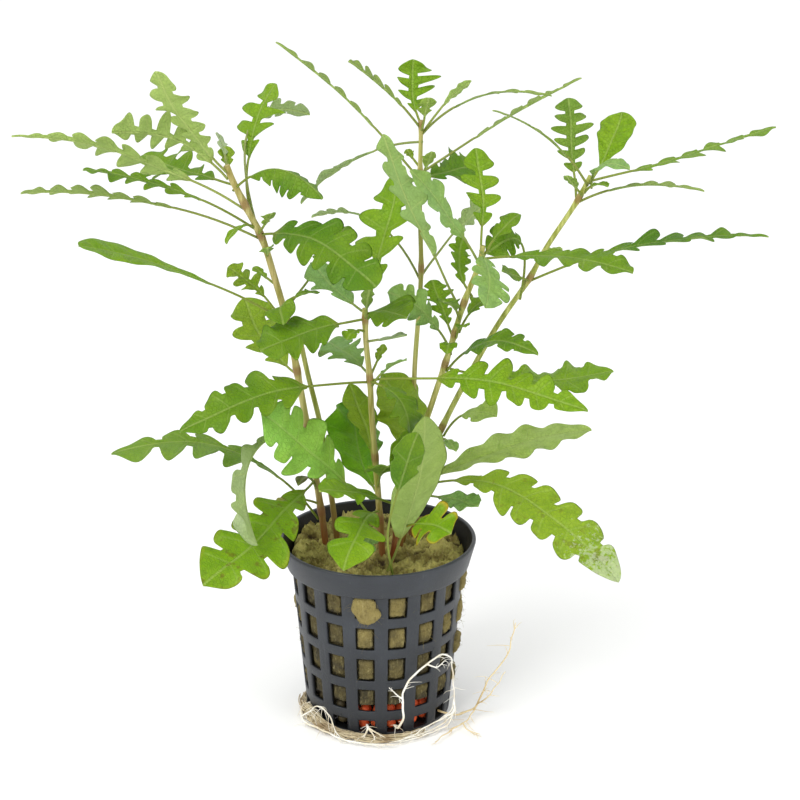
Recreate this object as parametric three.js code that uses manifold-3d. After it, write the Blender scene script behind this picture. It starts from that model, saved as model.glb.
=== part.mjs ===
// Hygrophila pinnatifida, a stem plant with lobed leaves, growing from rock wool in a plastic net pot.
// Millimetres, +Z up. The origin is the middle of the pot's underside, and -Y is the front.
import * as THREE from 'three';
import { mergeVertices } from 'three/addons/utils/BufferGeometryUtils.js';
import Module from 'manifold-3d';

const wasm = await Module();
wasm.setup();

// Driving dimensions of the pot: a common net pot of about 55 mm across its rim.
const RIM_RADIUS = 27.9;
const RIM_WIDTH = 1.1;
const POT_HEIGHT = 53.3;
const COLLAR_BOTTOM = 45.4;
const COLLAR_RADIUS = 26;
const LEDGE_TOP = 46.6;
const WALL_RADIUS = 24.5;
const WALL_SLOPE = 0.088;
const WALL = 1.1;
const BASE_THICKNESS = 1.5;
const WINDOW_COLUMNS = 16;
const WINDOW_HALF_ANGLE = 6.5;
const FIRST_WINDOW = -8.6;
const WINDOW_ROWS = [[45.4, 38.3], [35.3, 28.4], [25.4, 18.4], [15.5, 8.5], [5.4, 1.5]];
const BASE_SLOT = [17, 10];

// The rock wool plug, and the granules under it.
const WOOL_TOP = 48.4;
const WOOL_BOTTOM = 10.6;
const WOOL_FLANGE = [24.3, 47.1];
const GRANULE_TOP = 10;
const GRANULE_BOTTOM = 1.9;
const CLEARANCE = 0.4;

// Stems stand this deep in the wool, and a leaf's stalk begins this far from its stem.
const STEM_FOOT = 44;
const STALK_GAP = 0.5;
const WOOL_FEET = { wool: [3, -14], wool_front: [4.5, -20] };
const STALK_RADIUS = 0.45;
const NODE_SWELLING = 0.35;
const NODE_REACH = 2;
const TIP_RADIUS = 0.2;
const BUD_WIDTH = 9;
const SHORT_STALK = 0.15;

// How lobes follow each other: length of the last lobe, its widest place and how far lobes lean forward.
const LAST_LOBE = 1.3;
const LOBE_PEAK = 0.55;
const LOBE_LEAN = 0.45;
const OUTLINE_SKEW = 1.2;
const OUTLINE_FULLNESS = 0.7;

const RAD = Math.PI / 180;
const UP = new THREE.Vector3(0, 0, 1);

// Each stem: its radius at the foot and at the top, and the points that it grows through.
const STEMS = {
  left: [1.05, 1, [[-14.4, 3, 44], [-14.8, 3, 48.5], [-16.9, 3, 66], [-22.3, 1, 103], [-25, 0, 118.5],
    [-27.8, -1, 130], [-31.1, -2, 142], [-35.4, -3, 151.5], [-38.7, -4, 159], [-40, -5, 163]]],
  inner: [0.95, 0.75, [[-11, 6, 44], [-11.6, 6, 48.5], [-13.1, 6, 62], [-16.2, 6, 85], [-19.7, 6, 101],
    [-22.2, 6.5, 114]]],
  front: [1.05, 0.8, [[1.4, -2, 44], [1.2, -2, 49], [0.7, -3, 59], [-0.1, -5, 72.5], [-1.4, -7, 91],
    [-2, -8, 104], [-3, -8, 115], [-3.2, -8, 124]]],
  middle: [0.95, 0.8, [[5.6, 2, 44], [6.3, 2, 49.5], [8.6, 1, 67], [11.9, 0, 82.5], [15.5, -1, 95],
    [19.7, -2, 109], [23.8, -3, 124], [28, -4, 136], [28.7, -4, 140.5]]],
  back: [0.85, 0.65, [[9.5, 13, 44], [9.5, 13, 65], [10, 14, 83], [10.5, 15, 99.5], [11.6, 16, 115.5],
    [12.2, 16, 127], [11.8, 17, 147], [12.1, 17, 170]]],
  right: [0.95, 0.7, [[6.4, 9, 44], [7.5, 9, 50.5], [10.6, 9, 64], [16.5, 9, 79], [22.4, 9, 92],
    [33.3, 8, 113.5], [42.2, 7, 128], [46.2, 7, 136], [54.8, 6, 150.5], [58, 5, 157.5]]],
  short: [0.85, 0.7, [[3.5, -8, 44], [3.8, -8, 48.5], [5.2, -9, 59], [5.5, -10, 67], [4.6, -10, 70.5]]],
};

// Swollen nodes, by height, where pairs of leaves grow.
const NODES = {
  left: [60, 86, 103, 119, 143, 152], inner: [66], front: [60, 80, 104, 121], middle: [73, 106, 115, 124],
  back: [128, 155, 169], right: [67, 83, 128, 151], short: [59],
};

// Each leaf: stem, height on it, tip, arch and sideways bow of the midrib, width, roll about the midrib in
// degrees, length of the stalk as a share of the whole, lobes on a side, depth of the cuts, tone and fold.
const LEAVES = {
  left_leaf_1: ['left', 152, [-99, 8, 168], 4.5, 0, 19, 50, 0.2, 6, 0.6, 'pale'],
  left_leaf_2: ['left', 143, [-94, -14, 158], 4, 0, 12, 30, 0.35, 4, 0.5, 'pale'],
  left_leaf_3: ['left', 163, [-56, -24, 193], -1, 1, 11.5, 15, 0.1, 4, 0.35, 'pale'],
  left_leaf_4: ['left', 161, [-70, -8, 173], 4, 0, 15, 55, 0.1, 4, 0.55, 'pale'],
  left_leaf_5: ['left', 157, [-65, 22, 159], 0, -1, 15, -15, 0.15, 4, 0.5, 'deep'],
  left_leaf_6: ['left', 152, [-27.5, 16, 180.5], 1, -3, 20, -25, 0.33, 3, 0.7, 'bright'],
  left_leaf_7: ['left', 158, [-14, -16, 157], 6, 0, 16, 20, 0.1, 4, 0.22, 'deep', -40],
  left_leaf_8: ['left', 143.5, [0, -30, 137], 5, 1, 18.5, 25, 0.08, 4, 0.36, 'deep'],
  left_leaf_9: ['left', 119, [-79, -16, 144], 2.5, 1, 14, -5, 0.35, 4, 0.2, 'bright'],
  left_leaf_10: ['left', 102, [-38, 26, 116], -2, -1, 16, -15, 0.1, 3, 0.35, 'yellow'],
  left_leaf_11: ['left', 60, [-73, -14, 84], 9, 0, 16, -10, 0.2, 5, 0.4, 'bright'],
  left_leaf_12: ['left', 86, [-32, -38, 67], 8, 8, 16, 85, 0.15, 3, 0.4, 'pale', 35],
  left_leaf_13: ['left', 69, [-46, -46, 59], 1, -2, 21, -25, 0.08, 4, 0.38, 'bright'],
  front_leaf_1: ['front', 124, [6, 20, 154], -1, 0, 20, -15, 0.15, 3, 0.5, 'bright'],
  front_leaf_2: ['front', 121, [-31, -20, 116], 1, 0, 18, -15, 0.2, 3, 0.2, 'deep'],
  front_leaf_3: ['front', 104, [56, -34, 104], 4, 1, 19, 30, 0.3, 4, 0.55, 'bright'],
  front_leaf_4: ['front', 103, [-53, -26, 95], 4, -1, 22, -25, 0.3, 4, 0.35, 'deep'],
  front_leaf_5: ['front', 68, [-7, 14, 89], 0, -2, 21, 25, 0.06, 0, 0, 'deep'],
  front_leaf_6: ['front', 60, [-31, -20, 98], 2, 0, 19, -65, 0.3, 3, 0.35, 'blue'],
  front_leaf_7: ['front', 63, [-9, -34, 58], 4, 0, 17, -10, 0.1, 2, 0.5, 'bright'],
  middle_leaf_1: ['middle', 124, [2, -14, 174], -1, 0, 14, 15, 0.28, 3, 0.5, 'blue'],
  middle_leaf_2: ['middle', 137, [9, -21, 166], 1, 0, 9.5, -65, 0.2, 3, 0.3, 'blue'],
  middle_leaf_3: ['middle', 138, [27, 14, 163], 0, 1, 15, 20, 0.25, 3, 0.65, 'bright'],
  middle_leaf_4: ['middle', 139, [29, -26, 130], 2, -1, 14, -40, 0.1, 4, 0.35, 'blue'],
  middle_leaf_5: ['middle', 113, [3, -6, 128], 2, 0, 12, -45, 0.15, 4, 0.4, 'blue'],
  middle_leaf_6: ['middle', 137, [67, -30, 141], 2, -1, 15, 5, 0.15, 4, 0.35, 'deep'],
  middle_leaf_7: ['middle', 106, [43, -26, 117], 5, 0, 15, 20, 0.2, 4, 0.35, 'deep'],
  middle_leaf_8: ['middle', 104, [66, 6, 101], -3, 0, 18, 5, 0.25, 4, 0.25, 'bright'],
  middle_leaf_9: ['middle', 73, [1, 11, 98], 1, 3, 17, 0, 0.08, 0, 0, 'yellow'],
  back_leaf_1: ['back', 169, [10, 26, 185], -1, -1, 15, 20, 0.15, 3, 0.75, 'bright'],
  back_leaf_2: ['back', 168, [47, 4, 180], 5, 1, 7, 5, 0.25, 3, 0.4, 'bright'],
  back_leaf_3: ['back', 170, [-7.5, 8, 188.5], 1, 0, 7, -25, 0.2, 3, 0.4, 'bright'],
  back_leaf_4: ['back', 156, [57, 34, 178], 1, 0, 7, -10, 0.3, 4, 0.5, 'bright'],
  back_leaf_5: ['back', 155, [-28, 30, 189], 2, 0, 5.5, 5, 0.3, 3, 0.4, 'bright'],
  back_leaf_6: ['back', 154, [28, 26, 155], 0, 0, 17, 20, 0.05, 3, 0.32, 'deep'],
  right_leaf_1: ['right', 151, [52, 14, 177], 0, 0, 13, 5, 0.22, 5, 0.45, 'bright'],
  right_leaf_2: ['right', 157, [67, 14, 173], 0, 1, 13, 0, 0.15, 3, 0.25, 'bright'],
  right_leaf_3: ['right', 156, [109, 14, 169], -1, -1, 13, 5, 0.2, 5, 0.5, 'bright'],
  right_leaf_4: ['right', 157, [31, 0, 177], 3, 1, 5.5, -5, 0.2, 4, 0.4, 'pale'],
  right_leaf_6: ['right', 128, [108, 10, 139], 4, 0, 13, 0, 0.2, 5, 0.5, 'bright'],
  right_leaf_7: ['right', 66.5, [60, 2, 85], 2.5, 0, 15, -50, 0.05, 4, 0.12, 'yellow'],
  right_leaf_8: ['right', 66, [64.5, -46, 60], 11, 0, 17.5, 20, 0.15, 6, 0.35, 'bright'],
  short_leaf_1: ['short', 68, [-15, -36, 82], 1, 2, 10, -25, 0.15, 3, 0.2, 'bright'],
  short_leaf_2: ['short', 59, [20, -32, 68], 3, 1, 16, 35, 0.4, 2, 0.45, 'bright'],
  basal_leaf: ['wool', 49.3, [13, -20, 97], -2, -1, 21.5, -10, 0.29, 0, 0, 'pale'],
  basal_leaf_2: ['wool_front', 49.3, [11, -29, 96], -2, 6, 11.5, -10, 0.66, 1, 0.2, 'deep'],
};

// Smaller and young leaves, in the same terms. Each is one solid with its stem.
const SMALL_LEAVES = {
  left_small_1: ['left', 149, [-19, 32, 168], 13, -6, 7, -65, 0.5, 3, 0.4, 'pale'],
  left_small_2: ['left', 121, [-9, 30, 136], 1, 1, 12, -15, 0.4, 2, 0.4, 'deep'],
  left_small_3: ['left', 120, [-41, 4, 132], 1, 0, 11, -15, 0.3, 2, 0.5, 'yellow'],
  left_small_4: ['left', 119, [-25, -16, 122], 4, 1, 9, 25, 0.1, 1, 0.2, 'deep'],
  left_small_5: ['left', 146, [-77, -16, 165], 3, -2, 14, -5, 0.3, 4, 0.5, 'deep'],
  left_bud_1: ['left', 160, [-41, 4, 166], 0, 0, 5, 0, 0.3, 1, 0.3, 'yellow'],
  left_bud_2: ['left', 162, [-43, 10, 168], 1, 0, 5, 40, 0.3, 1, 0.3, 'pale'],
  left_bud_3: ['left', 145, [-28, -9, 151], 0, 0, 5, 0, 0.3, 1, 0.4, 'yellow'],
  left_bud_4: ['left', 146, [-40, -14, 144], 2, 0, 4, 20, 0.2, 1, 0.3, 'bright'],
  left_bud_5: ['left', 138, [-29, -14, 143], 0, 0, 5, 20, 0.2, 1, 0.3, 'bright'],
  left_bud_6: ['left', 129, [-34, 4, 132], 0, 0, 4, 0, 0.2, 1, 0.2, 'bright'],
  left_bud_7: ['left', 123, [-16, 6, 124], 1, 0, 5, 0, 0.2, 1, 0.3, 'bright'],
  left_bud_8: ['left', 69, [-22, -10, 73], 2, 0, 4, 0, 0.2, 1, 0.2, 'brown'],
  left_bud_9: ['left', 63, [-29, -6, 66], 1, 0, 4, 0, 0.3, 0, 0, 'tan'],
  front_small_1: ['front', 123, [-18, 8, 132], -1, 0, 13, -5, 0.15, 2, 0.3, 'blue'],
  front_small_2: ['front', 123, [9, -21, 127], 1, 0, 15, 15, 0.06, 2, 0.25, 'deep'],
  front_small_3: ['front', 79, [-8, 12, 95], -1, 1, 9, 0, 0.08, 2, 0.2, 'yellow'],
  front_small_4: ['front', 103, [9, -18, 91], 3, -1, 14, -15, 0.1, 2, 0.3, 'deep'],
  front_small_5: ['front', 105, [-14, 16, 106], 1, 0, 13, -10, 0.12, 3, 0.3, 'blue'],
  front_bud_1: ['front', 123, [-2, -16, 132], 0, 0, 4, 0, 0.2, 1, 0.2, 'deep'],
  front_bud_2: ['front', 118, [-8, -14, 117], 1, 0, 6, 0, 0.2, 1, 0.4, 'bright'],
  front_bud_3: ['front', 104, [8, -16, 112], 1, 0, 6, 0, 0.2, 1, 0.2, 'blue'],
  front_bud_4: ['front', 115, [8, -16, 119], 0, 0, 6, 0, 0.2, 1, 0.2, 'grey'],
  front_bud_5: ['front', 106, [2, -3, 112], 0, 0, 4, 0, 0.3, 1, 0.3, 'yellow'],
  front_bud_6: ['front', 73, [-1, -16, 84], 1, 0, 7, 0, 0.2, 1, 0.3, 'blue'],
  front_bud_7: ['front', 56, [-5, -20, 54], 3, 0, 7, 0, 0.2, 1, 0.3, 'blue'],
  middle_small_1: ['middle', 127, [24, 10, 139], 0, -2, 8, 35, 0.1, 3, 0.3, 'bright'],
  middle_small_2: ['middle', 115, [15, 8, 127], 0, 0, 11, 10, 0.12, 3, 0.35, 'bright'],
  middle_bud_1: ['middle', 121, [18, -14, 128], 1, 0, 7, 0, 0.2, 1, 0.2, 'deep'],
  middle_bud_2: ['middle', 139, [39, 4, 147], 1, 0, 8, 0, 0.2, 1, 0.3, 'deep'],
  middle_bud_3: ['middle', 116, [24, -12, 120], 1, 0, 4, 0, 0.2, 0, 0, 'bright'],
  middle_bud_4: ['middle', 111, [19, -14, 113], 2, 0, 5, 0, 0.2, 0, 0, 'bright'],
  middle_bud_5: ['middle', 117, [30, 3, 123], 1, 0, 8, 0, 0.3, 1, 0.3, 'deep'],
  back_small_1: ['back', 168, [26, 26, 179], 1, 0, 4, -65, 0.4, 0, 0, 'pale'],
  back_small_2: ['back', 164, [-22, 36, 141], 4, 1, 6, 15, 0.3, 3, 0.4, 'grey'],
  back_small_3: ['back', 128, [30, 28, 143], 1, 0, 10, -70, 0.5, 2, 0.3, 'grey'],
  back_small_4: ['back', 127, [-19, 36, 137], 8, 0, 4.5, 28, 0.5, 3, 0.4, 'grey'],
  back_bud_1: ['back', 155, [15, 10, 163], 0, 0, 4, 0, 0.3, 0, 0, 'yellow'],
  back_bud_2: ['back', 158, [8, 20, 161], 0, 0, 4, 0, 0.3, 0, 0, 'yellow'],
  back_bud_3: ['back', 169, [14, 10, 178], 0, 0, 6, 0, 0.3, 1, 0.4, 'yellow'],
  right_small_1: ['right', 156, [67, -12, 164], 3, 2, 7, 20, 0.15, 2, 0.2, 'blue'],
  right_small_2: ['right', 128, [30, 0, 137], 8, 1, 11, -35, 0.4, 2, 0.4, 'deep'],
  right_small_3: ['right', 128, [34, -6, 134], 0, 0, 7, -40, 0.2, 1, 0.2, 'deep'],
  right_small_4: ['right', 83, [33, -6, 92], 3, 0, 9, 30, 0.35, 1, 0.3, 'pale'],
  right_small_5: ['right', 63, [28, -12, 67.5], 0, -1, 9, 15, 0.3, 0, 0, 'blue'],
  right_small_6: ['right', 151, [87, -12, 158], 3, 1, 5, 0, 0.2, 3, 0.5, 'pale'],
  right_bud_1: ['right', 153, [51, -4, 160], 0, 0, 4, 0, 0.3, 0, 0, 'bright'],
  right_bud_2: ['right', 154, [62, -4, 157], 1, 0, 4, 0, 0.2, 0, 0, 'bright'],
  right_bud_3: ['right', 132, [51, 16, 134], 0, 0, 4, 0, 0.3, 0, 0, 'pale'],
  right_bud_4: ['right', 80, [22, -2, 80], 1, 0, 4, 0, 0.3, 0, 0, 'blue'],
  short_small_1: ['short', 69, [11, -8, 89], 2, 1, 10, 85, 0.1, 0, 0, 'deep'],
  short_bud_1: ['short', 70, [8, -13, 72], 1, 0, 7, 0, 0.2, 1, 0.2, 'bright'],
};

// Roots leave the pot through its windows and lie on the ground or stand up in a loop or a spray.
const ROOT_RADIUS = 0.42;
const SIDE_ROOT_RADIUS = 0.32;
const ROOTS = {
  root_loop: [
    [[4.7, -19.3, 3.4], [5.6, -21.8, 3.8], [7.2, -22.3, 8], [7.1, -22.3, 14], [8.2, -22.4, 17.5],
      [10.8, -22, 21], [14.5, -20.4, 23.8], [17.5, -18.8, 25.2], [19.8, -16.8, 24], [21.2, -14.8, 20.5],
      [21.4, -14.4, 15], [21.8, -14, 8], [22.2, -12.6, 2.2]],
    [[7.1, -22.3, 13], [5, -22.8, 15], [3.4, -23.4, 17.4]],
    [[13.6, -21, 23.4], [16.6, -19.9, 21.9], [19, -18, 23]],
    [[21.6, -14.2, 9], [20.6, -14, 4.9], [17.6, -15.6, 3.3], [14.8, -17.5, 2.5], [12, -19.7, 1.5],
      [9.1, -22.4, 1.2], [5.5, -24.8, 1.2]],
  ],
  root_spray: [
    [[17, -10.2, 3.4], [18.9, -10.6, 3], [22.8, -9.6, 1.6], [26, -8, 2.2], [28.3, -7.6, 3.4],
      [29.2, -8, 6], [31.2, -8, 11], [33, -8, 14], [36.3, -8, 18.6], [37.9, -8, 23.3], [39, -8, 30]],
    [[28.3, -7.6, 3.6], [31.1, -11, 7.8], [33.9, -13, 12.8], [36.2, -14, 17.5]],
    [[28, -7.7, 3], [25.6, -12, 1.3], [22.3, -16.6, 1.2]],
    [[24.4, -14, 1.2], [25.6, -18, 1.2], [29, -20.5, 1.2]],
    [[22.6, -16, 1.3], [19.4, -20.5, 1.2], [16.2, -25, 1.2]],
  ],
  root_mat: [
    [[-19.4, -4.8, 3.4], [-21.4, -5.2, 2.8], [-22, -8.4, 1.6], [-20.8, -13.2, 1.2], [-17.8, -16.5, 1.2],
      [-14, -20, 1.2], [-10.4, -23.2, 1.2], [-6.1, -25.2, 1.2], [-1.6, -26.6, 1.2], [4.9, -27.4, 1.2]],
    [[-21.6, -10.4, 1.6], [-19.2, -13.2, 5], [-17, -15.8, 7.6], [-15, -17.8, 7.6], [-13.3, -19, 5.8],
      [-11.9, -20.6, 2.4], [-10.6, -22.8, 1.4]],
  ],
  root_tuft: [
    [[-2.9, -19.2, 3.4], [-2.6, -21.2, 3.6], [-3.6, -22.4, 2], [-5, -23.2, 1.2]],
    [[-2.6, -21.1, 3.5], [-1.2, -22.8, 2], [-0.8, -24.2, 1.2]],
    [[-2.6, -21.1, 3.6], [0.2, -22.2, 2.2], [2.2, -23, 1.2]],
  ],
};

const part = new THREE.Group();

function addNode(name, geometry, material) {
  const mesh = new THREE.Mesh(geometry, material);
  mesh.name = name;
  part.add(mesh);
}

function finish(color, roughness) {
  return new THREE.MeshStandardMaterial({ color, roughness, metalness: 0 });
}

function geometryOf(corners, faces) {
  const geometry = new THREE.BufferGeometry();
  geometry.setAttribute('position', new THREE.Float32BufferAttribute(corners.flat(), 3));
  geometry.setIndex(faces.flat());
  return geometry;
}

// A quad is two triangles.
function quad(a, b, c, d) {
  return [[a, b, c], [a, c, d]];
}

function solidOf(geometry) {
  const bare = geometry.clone();
  bare.deleteAttribute('normal');
  bare.deleteAttribute('uv');
  const merged = mergeVertices(bare, 1e-4);
  return new wasm.Manifold(new wasm.Mesh({
    numProp: 3,
    vertProperties: new Float32Array(merged.attributes.position.array),
    triVerts: new Uint32Array(merged.index.array),
  }));
}

function geometryFromSolid(solid) {
  const mesh = solid.getMesh();
  const geometry = new THREE.BufferGeometry();
  geometry.setAttribute('position', new THREE.BufferAttribute(new Float32Array(mesh.vertProperties), 3));
  geometry.setIndex(new THREE.BufferAttribute(new Uint32Array(mesh.triVerts), 1));
  return geometry;
}

function joined(solids) {
  return solids.reduce((whole, solid) => whole.add(solid));
}

// A point at a radius and a compass angle in degrees, counted from the front towards +X.
function around(radius, degrees, z) {
  return [radius * Math.sin(degrees * RAD), -radius * Math.cos(degrees * RAD), z];
}

function wallRadius(z) {
  return WALL_RADIUS - WALL_SLOPE * (COLLAR_BOTTOM - z);
}

// The pot's section from its rim down the wall and in to the middle of its base. Each station has a place
// on the outer skin and one on the inner skin, and says whether windows open between it and the next one.
function potStations() {
  const wall = WINDOW_ROWS.flatMap(([top, bottom]) => [top, bottom].map((z) => ({
    outer: [wallRadius(z), z],
    inner: [wallRadius(z) - WALL, z],
    open: z === top,
  })));
  wall[0].inner = [WALL_RADIUS - WALL, LEDGE_TOP];
  const disc = (radius, open) => ({ outer: [radius, 0], inner: [radius, BASE_THICKNESS], open });
  return [
    { outer: [RIM_RADIUS, POT_HEIGHT], inner: [RIM_RADIUS - RIM_WIDTH, POT_HEIGHT] },
    { outer: [COLLAR_RADIUS, COLLAR_BOTTOM], inner: [COLLAR_RADIUS - RIM_WIDTH, LEDGE_TOP] },
    ...wall,
    { outer: [wallRadius(0), 0], inner: [wallRadius(0) - 2 * WALL, BASE_THICKNESS], open: false },
    disc(BASE_SLOT[0], true),
    disc(BASE_SLOT[1], false),
    disc(0, false),
  ];
}

// The lattice: sectors between the stations are closed ribs or open windows in turn, and each open cell
// gets the four small faces of the wall's thickness.
function potGeometry() {
  const stations = potStations();
  const pitch = 360 / WINDOW_COLUMNS;
  const sectors = 2 * WINDOW_COLUMNS;
  const edgeAngle = (j) => FIRST_WINDOW + pitch * Math.floor(j / 2) + WINDOW_HALF_ANGLE * (j % 2 ? 1 : -1);
  const corners = [];
  const faces = [];
  const outer = (k, j) => 2 * (k * sectors + (j % sectors));
  const inner = (k, j) => outer(k, j) + 1;
  for (const station of stations) {
    for (let j = 0; j < sectors; j += 1) {
      corners.push(around(station.outer[0], edgeAngle(j), station.outer[1]));
      corners.push(around(station.inner[0], edgeAngle(j), station.inner[1]));
    }
  }
  const closed = (k, j) => !(stations[k].open && (j + sectors) % 2 === 0);
  for (let j = 0; j < sectors; j += 1) {
    faces.push(...quad(outer(0, j), outer(0, j + 1), inner(0, j + 1), inner(0, j)));
    for (let k = 0; k < stations.length - 1; k += 1) {
      const a = outer(k, j);
      const b = outer(k + 1, j);
      const c = outer(k + 1, j + 1);
      const d = outer(k, j + 1);
      if (closed(k, j)) {
        faces.push(...quad(a, b, c, d), ...quad(d + 1, c + 1, b + 1, a + 1));
      } else {
        faces.push(...quad(d, a, a + 1, d + 1), ...quad(b, c, c + 1, b + 1));
        faces.push(...quad(a, b, b + 1, a + 1), ...quad(c, d, d + 1, c + 1));
      }
    }
  }
  const pot = mergeVertices(geometryOf(corners, faces), 1e-4);
  const triangle = (_, i) => [0, 1, 2].map((c) => pot.index.getX(3 * i + c));
  const kept = Array.from({ length: pot.index.count / 3 }, triangle)
    .filter(([a, b, c]) => a !== b && b !== c && c !== a);
  pot.setIndex(kept.flat());
  return pot;
}

// A closed lump of revolution: rings of [radius, z], with a bump that shifts each corner.
function lumpGeometry(rings, sides, bottomZ, topZ, bump) {
  const corners = [[0, 0, bottomZ]];
  const faces = [];
  rings.forEach(([radius, z], k) => {
    for (let j = 0; j < sides; j += 1) {
      const [dr, dz] = bump(k, j);
      corners.push(around(radius + dr, (360 * (j + 0.5)) / sides, z + dz));
    }
  });
  corners.push([0, 0, topZ]);
  const at = (k, j) => 1 + k * sides + (j % sides);
  const top = corners.length - 1;
  for (let j = 0; j < sides; j += 1) {
    faces.push([0, at(0, j + 1), at(0, j)]);
    for (let k = 0; k < rings.length - 1; k += 1) {
      faces.push(...quad(at(k, j), at(k, j + 1), at(k + 1, j + 1), at(k + 1, j)));
    }
    faces.push([top, at(rings.length - 1, j), at(rings.length - 1, j + 1)]);
  }
  return geometryOf(corners, faces);
}

// A closed tube of changing radius along a smooth curve through the points.
function tubeGeometry(points, radii, sides, segments) {
  const curve = new THREE.CatmullRomCurve3(points.map((p) => new THREE.Vector3(...p)), false, 'centripetal');
  const frames = curve.computeFrenetFrames(segments);
  const corners = [];
  const faces = [];
  for (let i = 0; i <= segments; i += 1) {
    const centre = curve.getPointAt(i / segments);
    const radius = radii(i / segments, centre);
    for (let j = 0; j < sides; j += 1) {
      const angle = (2 * Math.PI * j) / sides;
      const corner = centre.clone()
        .addScaledVector(frames.normals[i], radius * Math.cos(angle))
        .addScaledVector(frames.binormals[i], radius * Math.sin(angle));
      corners.push(corner.toArray());
    }
  }
  const at = (i, j) => i * sides + (j % sides);
  for (let i = 0; i < segments; i += 1) {
    for (let j = 0; j < sides; j += 1) {
      faces.push(...quad(at(i, j), at(i, j + 1), at(i + 1, j + 1), at(i + 1, j)));
    }
  }
  for (let j = 1; j < sides - 1; j += 1) {
    faces.push([at(0, 0), at(0, j + 1), at(0, j)]);
    faces.push([at(segments, 0), at(segments, j), at(segments, j + 1)]);
  }
  return geometryOf(corners, faces);
}

// A stem's radius tapers upwards and swells a little at each of its nodes.
function stemRadius(name, z) {
  const [foot, top, points] = STEMS[name];
  const height = points[points.length - 1][2];
  const share = (z - STEM_FOOT) / (height - STEM_FOOT);
  const swelling = NODES[name].reduce((sum, node) => sum + Math.exp(-(((z - node) / NODE_REACH) ** 2)), 0);
  return foot + (top - foot) * share + NODE_SWELLING * swelling;
}

function stemGeometry(name) {
  const points = STEMS[name][2];
  return tubeGeometry(points, (_, centre) => stemRadius(name, centre.z), 5, points.length);
}

// The middle of a stem at a height, found along its smooth curve.
const STEM_TRACKS = Object.fromEntries(Object.entries(STEMS).map(([name, [, , points]]) => {
  const curve = new THREE.CatmullRomCurve3(points.map((p) => new THREE.Vector3(...p)), false, 'centripetal');
  return [name, curve.getSpacedPoints(200)];
}));

function stemPoint(name, z) {
  const track = STEM_TRACKS[name];
  return track.reduce((best, p) => (Math.abs(p.z - z) < Math.abs(best.z - z) ? p : best)).clone();
}

// Where a leaf's stalk begins: on the middle of its stem, or just off the stem's skin on the leaf's side.
function stalkStart([stem, height, tip], apart) {
  if (stem in WOOL_FEET) {
    return new THREE.Vector3(...WOOL_FEET[stem], height);
  }
  const middle = stemPoint(stem, height);
  if (!apart) {
    return middle;
  }
  const away = new THREE.Vector3(...tip).sub(middle);
  away.z = 0;
  away.normalize();
  return middle.addScaledVector(away, stemRadius(stem, height) + STALK_GAP + STALK_RADIUS);
}

// A leaf's half width at a share of its blade: a full outline, cut in between the lobes.
function halfWidth(share, width, lobes, cut) {
  const outline = Math.sin(Math.PI * share ** OUTLINE_SKEW) ** OUTLINE_FULLNESS;
  const lobe = share * (lobes + LAST_LOBE);
  const between = lobe < lobes + 0.5 ? Math.abs(Math.cos(Math.PI * lobe)) ** (4 - 3 * cut) : 0;
  return (width / 2) * outline * (1 - cut * between);
}

// Shares of the blade at which its outline turns: each lobe's widest place, and the cut after it.
function bladeShares(lobes, width) {
  if (width < BUD_WIDTH) {
    return [0.45];
  }
  if (lobes === 0) {
    return [0, 0.25, 0.55, 0.85];
  }
  const shares = [0];
  for (let k = 0; k < lobes; k += 1) {
    shares.push((k + LOBE_PEAK) / (lobes + LAST_LOBE), (k + 1) / (lobes + LAST_LOBE));
  }
  shares.push((lobes + 0.6) / (lobes + LAST_LOBE));
  return shares;
}

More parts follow.
